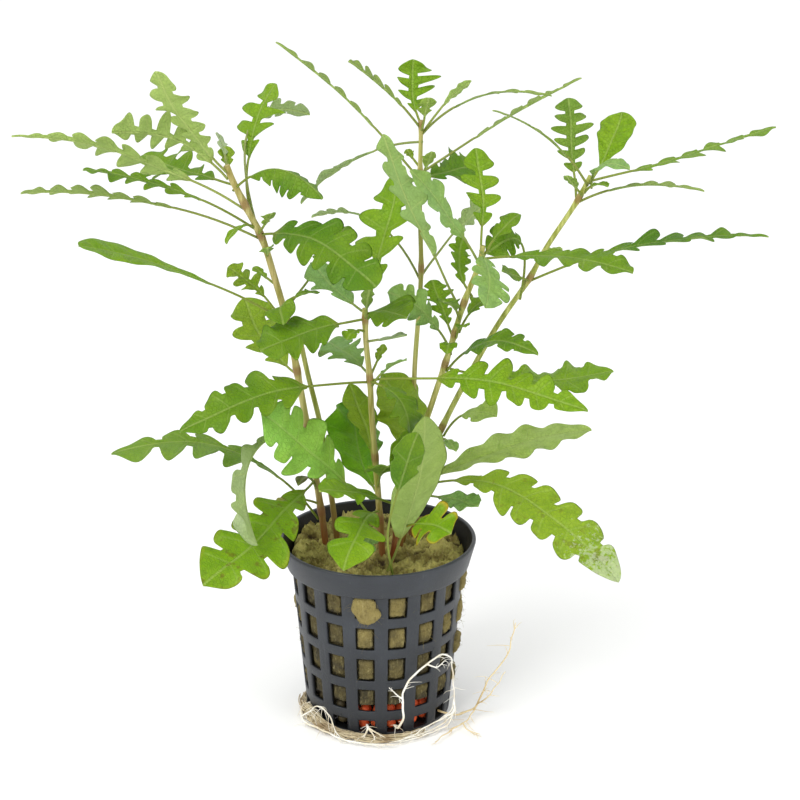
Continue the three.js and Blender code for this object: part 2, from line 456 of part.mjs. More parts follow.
// A leaf is one closed body: a stalk and a blade of diamond section, thick at the midrib, along a curve
// from the stem to the tip that arches up and bows sideways.
function leafGeometry(leaf, apart) {
  const [, , tip, arch, bow, width, roll, stalk, lobes, cut, , fold = 10] = leaf;
  const start = stalkStart(leaf, apart);
  const end = new THREE.Vector3(...tip);
  const chord = end.clone().sub(start).normalize();
  const rise = UP.clone().addScaledVector(chord, -chord.z).normalize();
  const aside = chord.clone().cross(rise);
  const control = start.clone().add(end).multiplyScalar(0.5)
    .addScaledVector(rise, 2 * arch)
    .addScaledVector(aside, 2 * bow);
  const midrib = new THREE.QuadraticBezierCurve3(start, control, end);
  const stalked = stalk > SHORT_STALK || width < BUD_WIDTH;
  const from = stalked ? stalk : 0;
  const rows = stalked ? [[0, STALK_RADIUS]] : [];
  for (const share of bladeShares(lobes, width)) {
    rows.push([from + (1 - from) * share, Math.max(STALK_RADIUS, halfWidth(share, width, lobes, cut))]);
  }
  const corners = [];
  for (const [t, half] of rows) {
    const centre = midrib.getPoint(t);
    const along = midrib.getTangent(t);
    const flat = rise.clone().addScaledVector(along, -rise.dot(along)).normalize();
    const across = along.clone().cross(flat);
    const normal = flat.clone().multiplyScalar(Math.cos(roll * RAD))
      .addScaledVector(across, Math.sin(roll * RAD));
    const side = along.clone().cross(normal);
    const thick = STALK_RADIUS + (TIP_RADIUS - STALK_RADIUS) * t;
    const lift = Math.sin(fold * RAD) * half;
    const reach = Math.cos(fold * RAD) * half;
    const lean = half > STALK_RADIUS ? LOBE_LEAN * half * (1 - t) : 0;
    const edge = (sign) => centre.clone().addScaledVector(side, sign * reach)
      .addScaledVector(normal, lift).addScaledVector(along, lean);
    corners.push(edge(1), centre.clone().addScaledVector(normal, -thick));
    corners.push(edge(-1), centre.clone().addScaledVector(normal, thick));
  }
  corners.push(end);
  const faces = [...quad(3, 2, 1, 0)];
  for (let i = 0; i < rows.length - 1; i += 1) {
    for (let j = 0; j < 4; j += 1) {
      const next = (j + 1) % 4;
      faces.push(...quad(4 * i + j, 4 * i + next, 4 * i + 4 + next, 4 * i + 4 + j));
    }
  }
  const last = 4 * (rows.length - 1);
  for (let j = 0; j < 4; j += 1) {
    faces.push([last + j, last + ((j + 1) % 4), corners.length - 1]);
  }
  return geometryOf(corners.map((corner) => corner.toArray()), faces);
}

const TONES = {
  bright: finish(0x7ba82a, 0.5),
  deep: finish(0x55881f, 0.45),
  yellow: finish(0x9db83a, 0.5),
  pale: finish(0xa3c167, 0.6),
  blue: finish(0x78b464, 0.45),
};
const POT_PLASTIC = finish(0x3f444c, 0.45);
const ROCK_WOOL = finish(0x7d6c40, 0.95);
const GRANULES = finish(0xd3571f, 0.6);
const STEM_SKIN = finish(0xa99a4a, 0.55);
const ROOT_SKIN = finish(0xe9e2cf, 0.6);

function addPot() {
  addNode('net_pot', potGeometry(), POT_PLASTIC);
}

function addGranules() {
  const rings = [[17.2, GRANULE_BOTTOM], [18.3, 4.6], [18.6, 7.4], [17, 9.4]];
  const bump = (k, j) => [j % 2 ? -0.7 : 0, k === 3 ? 0.3 * Math.sin(2.4 * j) : 0];
  addNode('granule_layer', lumpGeometry(rings, 10, GRANULE_BOTTOM, GRANULE_TOP, bump), GRANULES);
}

// The plug fills the pot to just over the ledge, with an uneven top and a socket for each stem.
function addWool() {
  const fit = (z) => (wallRadius(z) - WALL) * 0.995 - CLEARANCE;
  const [flangeRadius, flangeBottom] = WOOL_FLANGE;
  const rings = [
    [fit(WOOL_BOTTOM), WOOL_BOTTOM], [fit(COLLAR_BOTTOM), flangeBottom - 0.2],
    [flangeRadius, flangeBottom], [flangeRadius, WOOL_TOP - 0.8], [16, WOOL_TOP],
  ];
  const bump = (k, j) => (k < 4 ? [0, 0] : [0, 0.5 * Math.sin(1.9 * j)]);
  let plug = solidOf(lumpGeometry(rings, 12, WOOL_BOTTOM, WOOL_TOP, bump));
  for (const name of Object.keys(STEMS)) {
    const points = STEMS[name][2];
    const foot = new THREE.Vector3(...points[0]);
    const neck = new THREE.Vector3(...points[1]);
    const slope = neck.sub(foot).normalize();
    const low = foot.clone().addScaledVector(slope, -CLEARANCE).toArray();
    const high = foot.clone().addScaledVector(slope, 12).toArray();
    const radius = (stemRadius(name, STEM_FOOT) + CLEARANCE) / Math.cos(Math.PI / 6);
    plug = plug.subtract(solidOf(tubeGeometry([low, high], () => radius, 6, 1)));
  }
  addNode('rock_wool', geometryFromSolid(plug), ROCK_WOOL);
}

function addStems() {
  for (const name of Object.keys(STEMS)) {
    const small = Object.values(SMALL_LEAVES).filter(([stem]) => stem === name);
    const solids = [stemGeometry(name), ...small.map((leaf) => leafGeometry(leaf, false))].map(solidOf);
    addNode(`${name}_stem`, geometryFromSolid(joined(solids)), STEM_SKIN);
  }
}

function addLeaves() {
  for (const [name, leaf] of Object.entries(LEAVES)) {
    addNode(name, leafGeometry(leaf, true), TONES[leaf[10]]);
  }
}

function addRoots() {
  for (const [name, strands] of Object.entries(ROOTS)) {
    const solids = strands.map((points, i) => {
      const [radius, sides] = i === 0 ? [ROOT_RADIUS, 4] : [SIDE_ROOT_RADIUS, 3];
      return solidOf(tubeGeometry(points, (share) => radius * (1 - 0.35 * share), sides, points.length));
    });
    addNode(name, geometryFromSolid(joined(solids)), ROOT_SKIN);
  }
}

addPot();
addGranules();
addWool();
addStems();
addLeaves();
addRoots();

export default part;
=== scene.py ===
# %% [markdown]
# # A water plant in its net pot
# Hygrophila pinnatifida is sold as a bunch of stems that stand in rock wool, in a small pot of open
# lattice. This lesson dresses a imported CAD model: its solids say where everything is, and each one is
# replaced here by a finer surface that is worked out with numpy. Sizes are typed in millimetres and
# turned to metres at the end.

# %% Load the frame
import math
import bpy
import numpy as np
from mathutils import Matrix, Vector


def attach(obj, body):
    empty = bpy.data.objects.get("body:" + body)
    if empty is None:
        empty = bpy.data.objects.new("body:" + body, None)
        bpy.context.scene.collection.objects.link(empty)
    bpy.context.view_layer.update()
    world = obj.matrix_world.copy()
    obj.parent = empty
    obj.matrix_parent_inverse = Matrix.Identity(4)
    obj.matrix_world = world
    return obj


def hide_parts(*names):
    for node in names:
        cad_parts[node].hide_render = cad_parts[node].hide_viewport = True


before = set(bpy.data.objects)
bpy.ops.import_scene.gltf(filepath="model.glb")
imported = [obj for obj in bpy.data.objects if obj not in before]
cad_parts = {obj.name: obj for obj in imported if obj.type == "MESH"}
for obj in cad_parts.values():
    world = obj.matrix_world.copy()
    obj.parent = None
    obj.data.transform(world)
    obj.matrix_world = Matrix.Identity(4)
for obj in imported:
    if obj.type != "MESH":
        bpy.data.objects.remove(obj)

MM = 0.001
UP = np.array([0.0, 0.0, 1.0])
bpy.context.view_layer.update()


# %% [markdown]
# ## Camera
# The picture was taken from a little above with a long lens. A camera is easiest to set by where it
# stands and how far it tips down: here it looks along +Y, about twenty degrees below the horizon, with no
# shift.

# %% Camera
LENS = 113.2
CAMERA_PLACE = (0.0063, -0.6567, 0.3368)
LOOKING_DOWN = 20.25

camera_data = bpy.data.cameras.new("camera")
camera_data.lens = LENS
camera_data.sensor_width = 36
camera = bpy.data.objects.new("camera", camera_data)
camera.location = CAMERA_PLACE
camera.rotation_euler = (math.radians(90 - LOOKING_DOWN), 0, 0)
bpy.context.scene.collection.objects.link(camera)
bpy.context.scene.camera = camera
print("camera tips down", LOOKING_DOWN, "degrees")

# %% [markdown]
# ## A small language for materials
# A material is a graph of nodes. Wiring each sum by hand hides what is meant, so one small class wraps a
# socket and lets ordinary arithmetic add the Math nodes. Colours are blended with Mix nodes instead,
# because a Math node would turn them grey. Everything else comes from one method that takes the node's
# type.

# %% The socket class and the paint box
class Wire:
    """One output socket. Arithmetic on it adds Math nodes, also with a plain number on the left."""

    def __init__(self, paint, socket):
        self.paint, self.socket = paint, socket

    def math(self, operation, a, b=0.0):
        return self.paint.node("ShaderNodeMath", {"operation": operation}, {0: a, 1: b})

    def __add__(self, other):
        return self.math("ADD", self, other)

    def __sub__(self, other):
        return self.math("SUBTRACT", self, other)

    def __rsub__(self, other):
        return self.math("SUBTRACT", other, self)

    def __mul__(self, other):
        return self.math("MULTIPLY", self, other)

    def __abs__(self):
        return self.math("ABSOLUTE", self)

    __radd__ = __add__
    __rmul__ = __mul__


class Paint:
    """A material under construction."""

    def __init__(self, name):
        self.material = bpy.data.materials.new(name)
        self.material.use_nodes = True
        self.tree = self.material.node_tree
        self.tree.nodes.clear()

    def node(self, kind, settings=None, inputs=None, out=0):
        """Adds a node: settings first, then its sockets from values or wires. Returns one output."""
        made = self.tree.nodes.new(kind)
        for key, value in (settings or {}).items():
            setattr(made, key, value)
        for key, value in (inputs or {}).items():
            if isinstance(value, Wire):
                self.tree.links.new(value.socket, made.inputs[key])
            else:
                made.inputs[key].default_value = value
        return Wire(self, made.outputs[out])

    def place(self, scale=(1, 1, 1)):
        """Object coordinates, stretched by a scale."""
        here = self.node("ShaderNodeTexCoord", out=3)
        return self.node("ShaderNodeMapping", None, {"Vector": here, "Scale": scale})

    def noise(self, scale, detail=3.0, rough=0.55, stretch=(1, 1, 1)):
        """Cloudy noise from 0 to 1; scale is in waves per metre."""
        inputs = {"Vector": self.place(stretch), "Scale": scale, "Detail": detail, "Roughness": rough}
        return self.node("ShaderNodeTexNoise", None, inputs)

    def ramp(self, value, low, high):
        """0 below low, 1 above high, smooth between."""
        inputs = {"Value": value, "From Min": low, "From Max": high}
        return self.node("ShaderNodeMapRange", {"interpolation_type": "SMOOTHSTEP"}, inputs)

    def mix(self, share, a, b):
        """Colour a turns to colour b by a share."""
        return self.node("ShaderNodeMix", {"data_type": "RGBA"}, {0: share, 6: a, 7: b}, out=2)

    def kept(self, name, out=2):
        """A number (out 2) or a colour (out 0) that is kept on the mesh under a name."""
        return self.node("ShaderNodeAttribute", {"attribute_name": name}, out=out)

    def finish(self, colour, roughness, height=None, depth=0.0, glow=None, glow_share=0.0, **steady):
        """Ends the graph in a Principled shader, with a bump of a depth in metres, and may let light
        through."""
        inputs = {"Base Color": colour, "Roughness": roughness, **steady}
        if height is not None:
            inputs["Normal"] = self.node("ShaderNodeBump", None, {"Height": height, "Distance": depth})
        shader = self.node("ShaderNodeBsdfPrincipled", None, inputs)
        if glow is not None:
            through = self.node("ShaderNodeBsdfTranslucent", None, {"Color": glow})
            shader = self.node("ShaderNodeMixShader", None, {0: glow_share, 1: shader, 2: through})
        end = self.tree.nodes.new("ShaderNodeOutputMaterial")
        self.tree.links.new(shader.socket, end.inputs[0])
        print("material", self.material.name, "has", len(self.tree.nodes), "nodes")
        return self.material


def hue(red, green, blue):
    """A colour as seen on a screen, 0 to 255, as the linear values that shaders use."""
    screen = np.array([red, green, blue]) / 255
    linear = np.where(screen < 0.04045, screen / 12.92, ((screen + 0.055) / 1.055) ** 2.4)
    return (*linear.tolist(), 1.0)


# %% [markdown]
# ## Arrays into meshes
# Nearly every piece here is a stack of rings: stalks, leaves, roots, wool. A ring is a row of points, and
# two rings side by side give a band of four-cornered faces. Doing this once for whole arrays is fast, and
# a signed volume tells whether the faces look outwards.

# %% Rings to skins, skins to pieces
def skin(rings):
    """Closes a stack of rings (n, k, 3): quads between neighbours, and a fan round a middle point at each
    end."""
    count, around = rings.shape[:2]
    start = np.arange(count - 1)[:, None] * around
    here, following = np.arange(around), (np.arange(around) + 1) % around
    quads = np.stack([start + here, start + following, start + around + following, start + around + here], -1)
    corners = np.concatenate([rings.reshape(-1, 3), rings[:1].mean(1), rings[-1:].mean(1)])
    last = (count - 1) * around
    first_fan = np.stack([following, here, np.full(around, count * around)], -1)
    last_fan = np.stack([last + here, last + following, np.full(around, count * around + 1)], -1)
    return corners, quads.reshape(-1, 4), np.concatenate([first_fan, last_fan])


def volume(corners, quads, tris):
    """Signed volume: a sixth of the sum of the box products of every triangle's corners."""
    faces = np.concatenate([quads[:, :3], quads[:, [0, 2, 3]], tris])
    a, b, c = corners[faces[:, 0]], corners[faces[:, 1]], corners[faces[:, 2]]
    return np.einsum("ij,ij->i", a, np.cross(b, c)).sum() / 6


def closed(rings, **kept):
    """A closed part as a dictionary; kept arrays belong to the ring points and get values for the end
    points."""
    corners, quads, tris = skin(rings)
    if volume(corners, quads, tris) < 0:
        quads, tris = quads[:, ::-1], tris[:, ::-1]
    part = {"corners": corners, "quads": quads, "tris": tris}
    for key, values in kept.items():
        flat = values.reshape(len(rings) * rings.shape[1], -1)
        ends = [values[k].reshape(rings.shape[1], -1).mean(0) for k in (0, -1)]
        part[key] = np.concatenate([flat, ends])
    return part


def together(parts):
    """Several parts as one, with each part's corner numbers moved past those before it."""
    offsets = np.cumsum([0] + [len(part["corners"]) for part in parts[:-1]])
    whole = {}
    for key in parts[0]:
        moved = offsets if key in ("quads", "tris") else 0 * offsets
        whole[key] = np.concatenate([part[key] + offset for part, offset in zip(parts, moved)])
    return whole


def add_piece(name, part, material, slot, *nodes):
    """Puts a part into a mesh, with its kept arrays, rides it on the root and lets it stand for CAD nodes."""
    mesh = bpy.data.meshes.new(name)
    loops = np.concatenate([part["quads"].ravel(), part["tris"].ravel()]).astype(np.int32)
    four, three = len(part["quads"]), len(part["tris"])
    starts = np.concatenate([np.arange(four) * 4, 4 * four + np.arange(three) * 3]).astype(np.int32)
    mesh.vertices.add(len(part["corners"]))
    mesh.vertices.foreach_set("co", (part["corners"] * MM).astype(np.float32).ravel())
    mesh.loops.add(len(loops))
    mesh.polygons.add(len(starts))
    mesh.polygons.foreach_set("loop_start", starts)
    mesh.polygons.foreach_set("vertices", loops)
    mesh.update(calc_edges=True)
    mesh.shade_smooth()
    for key in set(part) - {"corners", "quads", "tris"}:
        values = part[key].astype(np.float32)
        colour = values.shape[1] == 4
        layer = mesh.attributes.new(key, "FLOAT_COLOR" if colour else "FLOAT", "POINT")
        layer.data.foreach_set("color" if colour else "value", values.ravel())
    mesh.materials.append(material)
    piece = bpy.data.objects.new(name, mesh)
    bpy.context.scene.collection.objects.link(piece)
    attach(piece, "root")
    if nodes:
        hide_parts(*nodes)
    return piece


# %% [markdown]
# ## Paths and tubes
# A stem, a stalk or a root is a circle carried along a path. The path is a smooth curve through a few
# typed points, and the circle must not spin on its way, so each ring's own axes are handed on from the
# ring before it. Centripetal Catmull-Rom is used because it passes through its points and never loops
# between close ones.

# %% Smooth paths and carried circles
def unit(vectors):
    """Vectors of length one."""
    return vectors / np.linalg.norm(vectors, axis=-1, keepdims=True)


def smooth_path(points, count):
    """Points at even steps on the centripetal Catmull-Rom curve: knots grow by the root of each chord, and
    each piece is three rounds of blending between neighbours."""
    p = np.array(points, float)
    p = np.vstack([2 * p[0] - p[1], p, 2 * p[-1] - p[-2]])
    knots = np.concatenate([[0], np.cumsum(np.linalg.norm(np.diff(p, axis=0), axis=1) ** 0.5)])
    s = np.linspace(knots[1], knots[-2], 12 * count)
    i = np.clip(np.searchsorted(knots, s, side="right") - 1, 1, len(p) - 3)

    def blend(a, b, low, high):
        share = ((s - knots[low]) / (knots[high] - knots[low]))[:, None]
        return a * (1 - share) + b * share

    a1, a2, a3 = (blend(p[i + k - 1], p[i + k], i + k - 1, i + k) for k in range(3))
    dense = blend(blend(a1, a2, i - 1, i + 1), blend(a2, a3, i, i + 2), i, i + 1)
    walked = np.concatenate([[0], np.cumsum(np.linalg.norm(np.diff(dense, axis=0), axis=1))])
    even = np.linspace(0, walked[-1], count)
    return np.stack([np.interp(even, walked, dense[:, k]) for k in range(3)], -1)


def carried_axes(path):
    """Two axes across the path at each of its points: each pair is the one before it, made square again."""
    along = unit(np.gradient(path, axis=0))
    first = np.cross(along[0], [0.3, 0.9, 0.1])
    across = [unit(first)]
    for direction in along[1:]:
        across.append(unit(across[-1] - direction * (across[-1] @ direction)))
    across = np.array(across)
    return across, np.cross(along, across)


def tube(path, radii, sides=12, **kept):
    """Circles of given radii round a path: centre + radius (cos turn * one axis + sin turn * the other)."""
    one, other = carried_axes(path)
    turn = np.linspace(0, 2 * np.pi, sides, endpoint=False)[None, :, None]
    radii = np.broadcast_to(radii, (len(path),)) if np.ndim(radii) < 2 else radii
    radii = radii.reshape(len(path), -1, 1)
    rings = path[:, None] + radii * (np.cos(turn) * one[:, None] + np.sin(turn) * other[:, None])
    spread = {key: np.repeat(np.asarray(values)[:, None], sides, 1) for key, values in kept.items()}
    return closed(rings, **spread)


def waves(points, size, seed, count=14):
    """Lumpiness from -1 to 1: a mean of sine waves that run in random directions, about a size apart."""
    rng = np.random.default_rng(seed)
    directions = unit(rng.normal(size=(count, 3))) * (2 * np.pi / (size * rng.uniform(0.7, 1.5, (count, 1))))
    return np.sin(points @ directions.T + rng.uniform(0, 6.3, count)).mean(-1) * 1.6


# %% [markdown]
# ## The net pot
# The pot is injection-moulded: one skin with a rim, a collar and a tapering wall, where rows of windows
# leave a lattice. It could be cut with booleans, but a grid does it better: sectors round the pot cross
# stations down its wall, every second sector of a window row is left open, and the open cells get the
# wall's thickness as four small faces. A bevel then breaks the sharp edges as the mould does.

# %% Stations of the pot's wall
RIM, COLLAR, LEDGE, WALL, SLOPE = 27.9, 26.0, 24.5, 1.1, 0.088
WINDOW_ROWS = [[45.4, 38.3], [35.3, 28.4], [25.4, 18.4], [15.5, 8.5], [5.4, 1.5]]
COLUMNS, FIRST_WINDOW, WINDOW_HALF = 16, -8.6, 6.5


def wall_radius(z):
    """The wall's outer radius at a height: it tapers by a fixed slope below the ledge."""
    return LEDGE - SLOPE * (WINDOW_ROWS[0][0] - z)


def pot_stations():
    """Outer (r, z), inner (r, z) and whether windows open between this station and the next."""
    rows = [[RIM - 0.1, 53.3, RIM - WALL, 53.3, 0], [RIM, 52.6, RIM - 1.15, 52.6, 0],
            [COLLAR + 0.1, 46.1, 24.9, 47.3, 0], [COLLAR - 0.2, 45.4, 24.6, 46.6, 0]]
    for top, bottom in WINDOW_ROWS:
        middle = (top + bottom) / 2
        rows += [[wall_radius(z), z, wall_radius(z) - WALL, z, z > bottom] for z in (top, middle, bottom)]
    rows[4][2:4] = [23.4, 46.6]
    foot = wall_radius(0)
    rows += [[foot, 0.5, foot - 2, 1.5, 0], [foot - 0.5, 0, foot - 2.2, 1.5, 0], [17, 0, 17, 1.5, 1],
             [13.5, 0, 13.5, 1.5, 1], [10, 0, 10, 1.5, 0], [5, 0, 5, 1.5, 0], [0.4, 0, 0.4, 1.5, 0]]
    return np.array(rows, float)


stations = pot_stations()
print("pot:", len(stations), "stations, windows", 2 * WINDOW_HALF, "degrees wide")


# %% The lattice from the stations
def pot_part(parts=3):
    """A grid of stations by angles for the outer skin and one for the inner skin. Closed cells give a face on
    each skin; an open cell gives a face through the wall at every side where its neighbour is closed."""
    pitch = 360 / COLUMNS
    edges = FIRST_WINDOW + np.arange(COLUMNS)[:, None] * pitch
    window = np.linspace(-WINDOW_HALF, WINDOW_HALF, parts + 1)[:-1]
    rib = np.linspace(WINDOW_HALF, pitch - WINDOW_HALF, parts + 1)[:-1]
    angles = np.radians((edges + np.concatenate([window, rib])[None]).ravel())
    sectors = len(angles)
    turn = np.stack([np.sin(angles), -np.cos(angles)], -1)
    corners = []
    for k in (0, 2):
        height = np.broadcast_to(stations[:, None, k + 1, None], (len(stations), sectors, 1))
        skin_points = np.concatenate([stations[:, None, k, None] * turn[None], height], -1)
        corners.append(skin_points.reshape(-1, 3))
    corners = np.concatenate(corners)
    inner = len(stations) * sectors
    k, j = np.meshgrid(np.arange(len(stations) - 1), np.arange(sectors), indexing="ij")
    nxt = (j + 1) % sectors
    cells = np.stack([k * sectors + j, (k + 1) * sectors + j, (k + 1) * sectors + nxt, k * sectors + nxt], -1)
    is_open = (stations[:-1, 4, None] > 0) & ((np.arange(sectors) // parts) % 2 == 0)[None]
    solid = cells[~is_open]
    faces = [solid, solid[:, ::-1] + inner]
    rim = np.stack([np.arange(sectors), (np.arange(sectors) + 1) % sectors], -1)
    faces.append(np.concatenate([rim, rim[:, ::-1] + inner], 1))
    neighbours = {(0, 1): np.roll(is_open, 1, 1), (1, 2): np.vstack([is_open[1:], is_open[:1] & False]),
                  (2, 3): np.roll(is_open, -1, 1), (3, 0): np.vstack([is_open[:1] & False, is_open[:-1]])}
    for (a, b), other in neighbours.items():
        edge = cells[is_open & ~other][:, [a, b]]
        faces.append(np.concatenate([edge, edge[:, ::-1] + inner], 1))
    last = (len(stations) - 1) * sectors + np.arange(sectors)
    corners = np.concatenate([corners, [[0, 0, 0], [0, 0, 1.5]]])
    hub = len(corners) - 2
    after = np.roll(last, -1)
    under_fan = np.stack([last, np.full(sectors, hub), after], -1)
    upper_fan = np.stack([after + inner, np.full(sectors, hub + 1), last + inner], -1)
    tris = np.concatenate([under_fan, upper_fan])
    quads = np.concatenate(faces)
    if volume(corners, quads, tris) < 0:
        quads, tris = quads[:, ::-1], tris[:, ::-1]
    # The inner skin is marked so that the material can paint it near-black as painted shade.
    inside = (np.arange(len(corners)) >= inner).astype(float)
    inside[:sectors] = inside[inner:inner + sectors] = 0
    inside[hub] = 0
    return {"corners": corners, "quads": quads, "tris": tris, "inside": inside[:, None]}


# %% [markdown]
# The plastic is a dark slate polypropylene: even, a little glossy where it is smooth, with a faint grain,
# paler scuffs and a film of dried water. Two noises of very different size make that, one for the film
# and one for the grain in the bump. Its inside and its foot are painted darker as painted shade: a value
# kept on the inner skin and the height above the floor say where.

# %% Pot material and piece
paint = Paint("slate_plastic")
film = paint.ramp(paint.noise(60, 5, 0.6), 0.42, 0.72)
grain = paint.noise(2600, 2)
scuffs = paint.ramp(paint.noise(900, 2, 0.5, (1, 1, 0.12)), 0.66, 0.8)
height = paint.node("ShaderNodeSeparateXYZ", None, {0: paint.place()}, out=2)
# Painted shade: the plastic is painted darker towards the foot.
foot_shade = 1 - paint.ramp(height + paint.noise(50, 3) * 0.012, 0.012, 0.052)
slate = paint.mix(film, hue(38, 42, 48), hue(54, 59, 66))
slate = paint.mix(foot_shade * 0.9, slate, hue(29, 32, 37))
slate = paint.mix(scuffs * 0.25, slate, hue(100, 104, 110))
# Painted shade: the inner skin is painted near-black.
slate = paint.mix(paint.ramp(paint.kept("inside"), 0.2, 0.8), slate, hue(14, 15, 16))
slate_plastic = paint.finish(slate, 0.36 + film * 0.14 + grain * 0.06, grain, 0.00012)

pot = add_piece("pot", pot_part(), slate_plastic, "pot", "net_pot")
bevel = pot.modifiers.new("moulded_edges", "BEVEL")
bevel.width = 0.28 * MM
bevel.segments = 2
bevel.limit_method = "ANGLE"
bevel.angle_limit = math.radians(35)
print("pot:", len(pot.data.polygons), "faces before its bevel")

# %% [markdown]
# ## The rock wool
# Rock wool is a felt of mineral threads, soaked and stained olive brown. It was pressed into the pot, so
# it bulges through some windows and stays hollow in others, and its top is torn into crumbs. A surface of
# revolution with waves of several sizes added outwards gives that. Rounded crumbs with sharp clefts
# between them come from one minus the absolute value of a wave. The bulges are zero at the edges of their
# window, so the wool never cuts into the plastic. How far a place stands out is kept on the mesh for its
# colour: partly the wool's own paler colour, partly painted light where it stands out and painted shade in
# its clefts.

# %% Shape of the wool
# Heights of the bulges in millimetres, by window column, from the top row down. The rest are random.
BULGES = {
    0: [1.7, 1.8, 1.6, 1.3],
    1: [1.5, 1.6, 1.4, 1.2],
    2: [1.3, 1.3, 0.8, 1.3],
    3: [0.7, 1.5, 0.5, 1.5],
    4: [2.6, 2.4, 2.8, 2.2],
    5: [2.4, 2.7, 2.4, 2.0],
    15: [1.0, 0.8, 0.9, 1.0],
    14: [0.6, 0.4, 0.6, 0.5],
    12: [1.8, 2.2, 1.9, 1.7],
}


def window_bulge(angle, z, rng):
    """Sum over windows of height * (1 - a^8) * (1 - b^8), with a and b the place across and up the window."""
    total = np.zeros(np.broadcast(angle, z).shape)
    for row, (top, bottom) in enumerate(WINDOW_ROWS[:4]):
        up = np.clip(np.abs(z - (top + bottom) / 2) / ((top - bottom) / 2 - 0.15), 0, 1)
        for column in range(COLUMNS):
            turned = (angle - FIRST_WINDOW - column * 360 / COLUMNS + 180) % 360 - 180
            off = np.clip(np.abs(turned) / (WINDOW_HALF - 0.4), 0, 1)
            height = rng.uniform(-0.3, 1.8)
            if column in BULGES:
                height = BULGES[column][row]
            total += height * (1 - up ** 8) * (1 - off ** 8)
    return total


def crumbs(points, size, seed):
    """Rounded lumps from 0 to 1 with sharp clefts between them: 1 - |wave|, the wave squeezed to its
    middle."""
    return 1 - np.clip(np.abs(waves(points, size, seed, 18)) * 2.2, 0, 1) ** 0.8


def wool_part(around=720, rng=np.random.default_rng(3)):
    """Rings from the middle of the underside out, up the side and in to the middle of the top."""
    side = np.arange(10.2, 46.9, 0.4)
    r = np.concatenate([[0.5, 8, 15, 19], wall_radius(side) - WALL - 0.45, [23.4, 24.2, 24.5, 24.4, 23.8],
                        np.linspace(23.0, 0.4, 64)])
    z = np.concatenate([[10.2] * 4, side, [46.9, 47.1, 47.4, 47.8, 48.1], np.full(64, 48.3)])
    angle = np.linspace(0, 360, around, endpoint=False)[None]
    turn = np.stack([np.sin(np.radians(angle)), -np.cos(np.radians(angle)), 0 * angle], -1)
    points = r[:, None, None] * turn + z[:, None, None] * UP
    on_side = ((z > 10.5) & (z < 46.3))[:, None]
    on_top = np.clip((z - 47.5) / 0.5, 0, 1)[:, None]
    fine = crumbs(points, 1.5, 5)
    coarse = crumbs(points, 4.2, 9)
    bulge = window_bulge(angle, z[:, None], rng)
    inside = np.clip(bulge, 0, 1)
    out = on_side * (bulge + (0.35 * fine + 0.45 * coarse - 0.5) * (0.35 + 0.75 * inside))
    moss = crumbs(points, 5.5, 19)
    heaped = 1.0 * waves(points, 13, 8) + 2.2 * (moss - 0.5) + 1.6 * (coarse - 0.5) + 0.8 * (fine - 0.5)
    heaped += 0.35 * waves(points, 0.9, 12, 24)
    banked = 1.6 - 0.9 * np.sin(np.radians(angle + 30))
    heaped = heaped + banked * np.clip((r[:, None] - 13) / 9, 0, 1)
    up = on_top * heaped
    # Partly the wool's own paler colour, partly painted light: this mask grows with how far the wool stands
    # out of its window, and falls towards the bottom as painted shade.
    fresh = np.clip(bulge / 2.2, 0, 1) * on_side * np.clip(0.35 + (z[:, None] - 8) / 45, 0, 1)
    fresh = fresh * (0.8 + 0.45 * waves(points, 6, 40))
    # Painted shade: this mask darkens the clefts between the crumbs, mostly on top.
    cleft = np.clip(1.8 - 0.8 * fine - 1.3 * coarse - 1.3 * moss, 0, 1) * (0.3 + 0.7 * on_top)
    return closed(points + out[..., None] * turn + up[..., None] * UP, fresh=fresh, cleft=cleft)


PLUG_OUTLINE = {-163: 3.5, -124: 3.7, -86: 4.2, -45: 4.3, -16: 4.4, 19: 3.2, 49: 4.3, 134: 4.6}


def wool_plug(column, row, thick, shift, seed):
    """A lump that hangs out of one window: its outline is a distance for each angle, as typed above, and
    sin(tilt)^0.6 and cos(tilt) take it round from the back to the front. Waves make it lumpy."""
    tilt = np.linspace(0.06, np.pi - 0.06, 30)[:, None]
    turn = np.linspace(-np.pi, np.pi, 60, endpoint=False)[None]
    reach = np.interp(np.degrees(turn), list(PLUG_OUTLINE), list(PLUG_OUTLINE.values()), period=360)
    round_it = np.sin(tilt) ** 0.6 * reach
    ball = np.stack([round_it * np.cos(turn), round_it * np.sin(turn), np.cos(tilt) * thick + 0 * turn], -1)
    lumps = 0.1 * waves(ball, 4, seed) + 0.07 * waves(ball, 1.6, seed + 1) + 0.03 * waves(ball, 0.6, seed + 2)
    ball = ball * (1 + lumps)[..., None]
    angle = math.radians(FIRST_WINDOW + column * 360 / COLUMNS)
    outward = np.array([math.sin(angle), -math.cos(angle), 0])
    sideways = np.array([math.cos(angle), math.sin(angle), 0])
    z = np.mean(WINDOW_ROWS[row])
    middle = outward * (wall_radius(z) - 0.1) + sideways * shift[0] + UP * (z + shift[1])
    rings = middle + ball @ np.array([sideways, UP, outward])
    # Where the lumps stand out the plug is painted lighter, and where they sink in darker: painted light and
    # painted shade.
    return closed(rings, fresh=0.8 + lumps, cleft=np.clip(0.3 - 2 * lumps, 0, 1))


wool = together([wool_part(), wool_plug(0, 0, 1.3, (0.4, -0.6), 31)])
print("wool:", len(wool["corners"]), "corners")

# %% [markdown]
# The felt ends in loose threads. Each is a hair-thin tube of three sides that leaves the surface and
# curls, and all of them are made at once as arrays, so hundreds cost little.

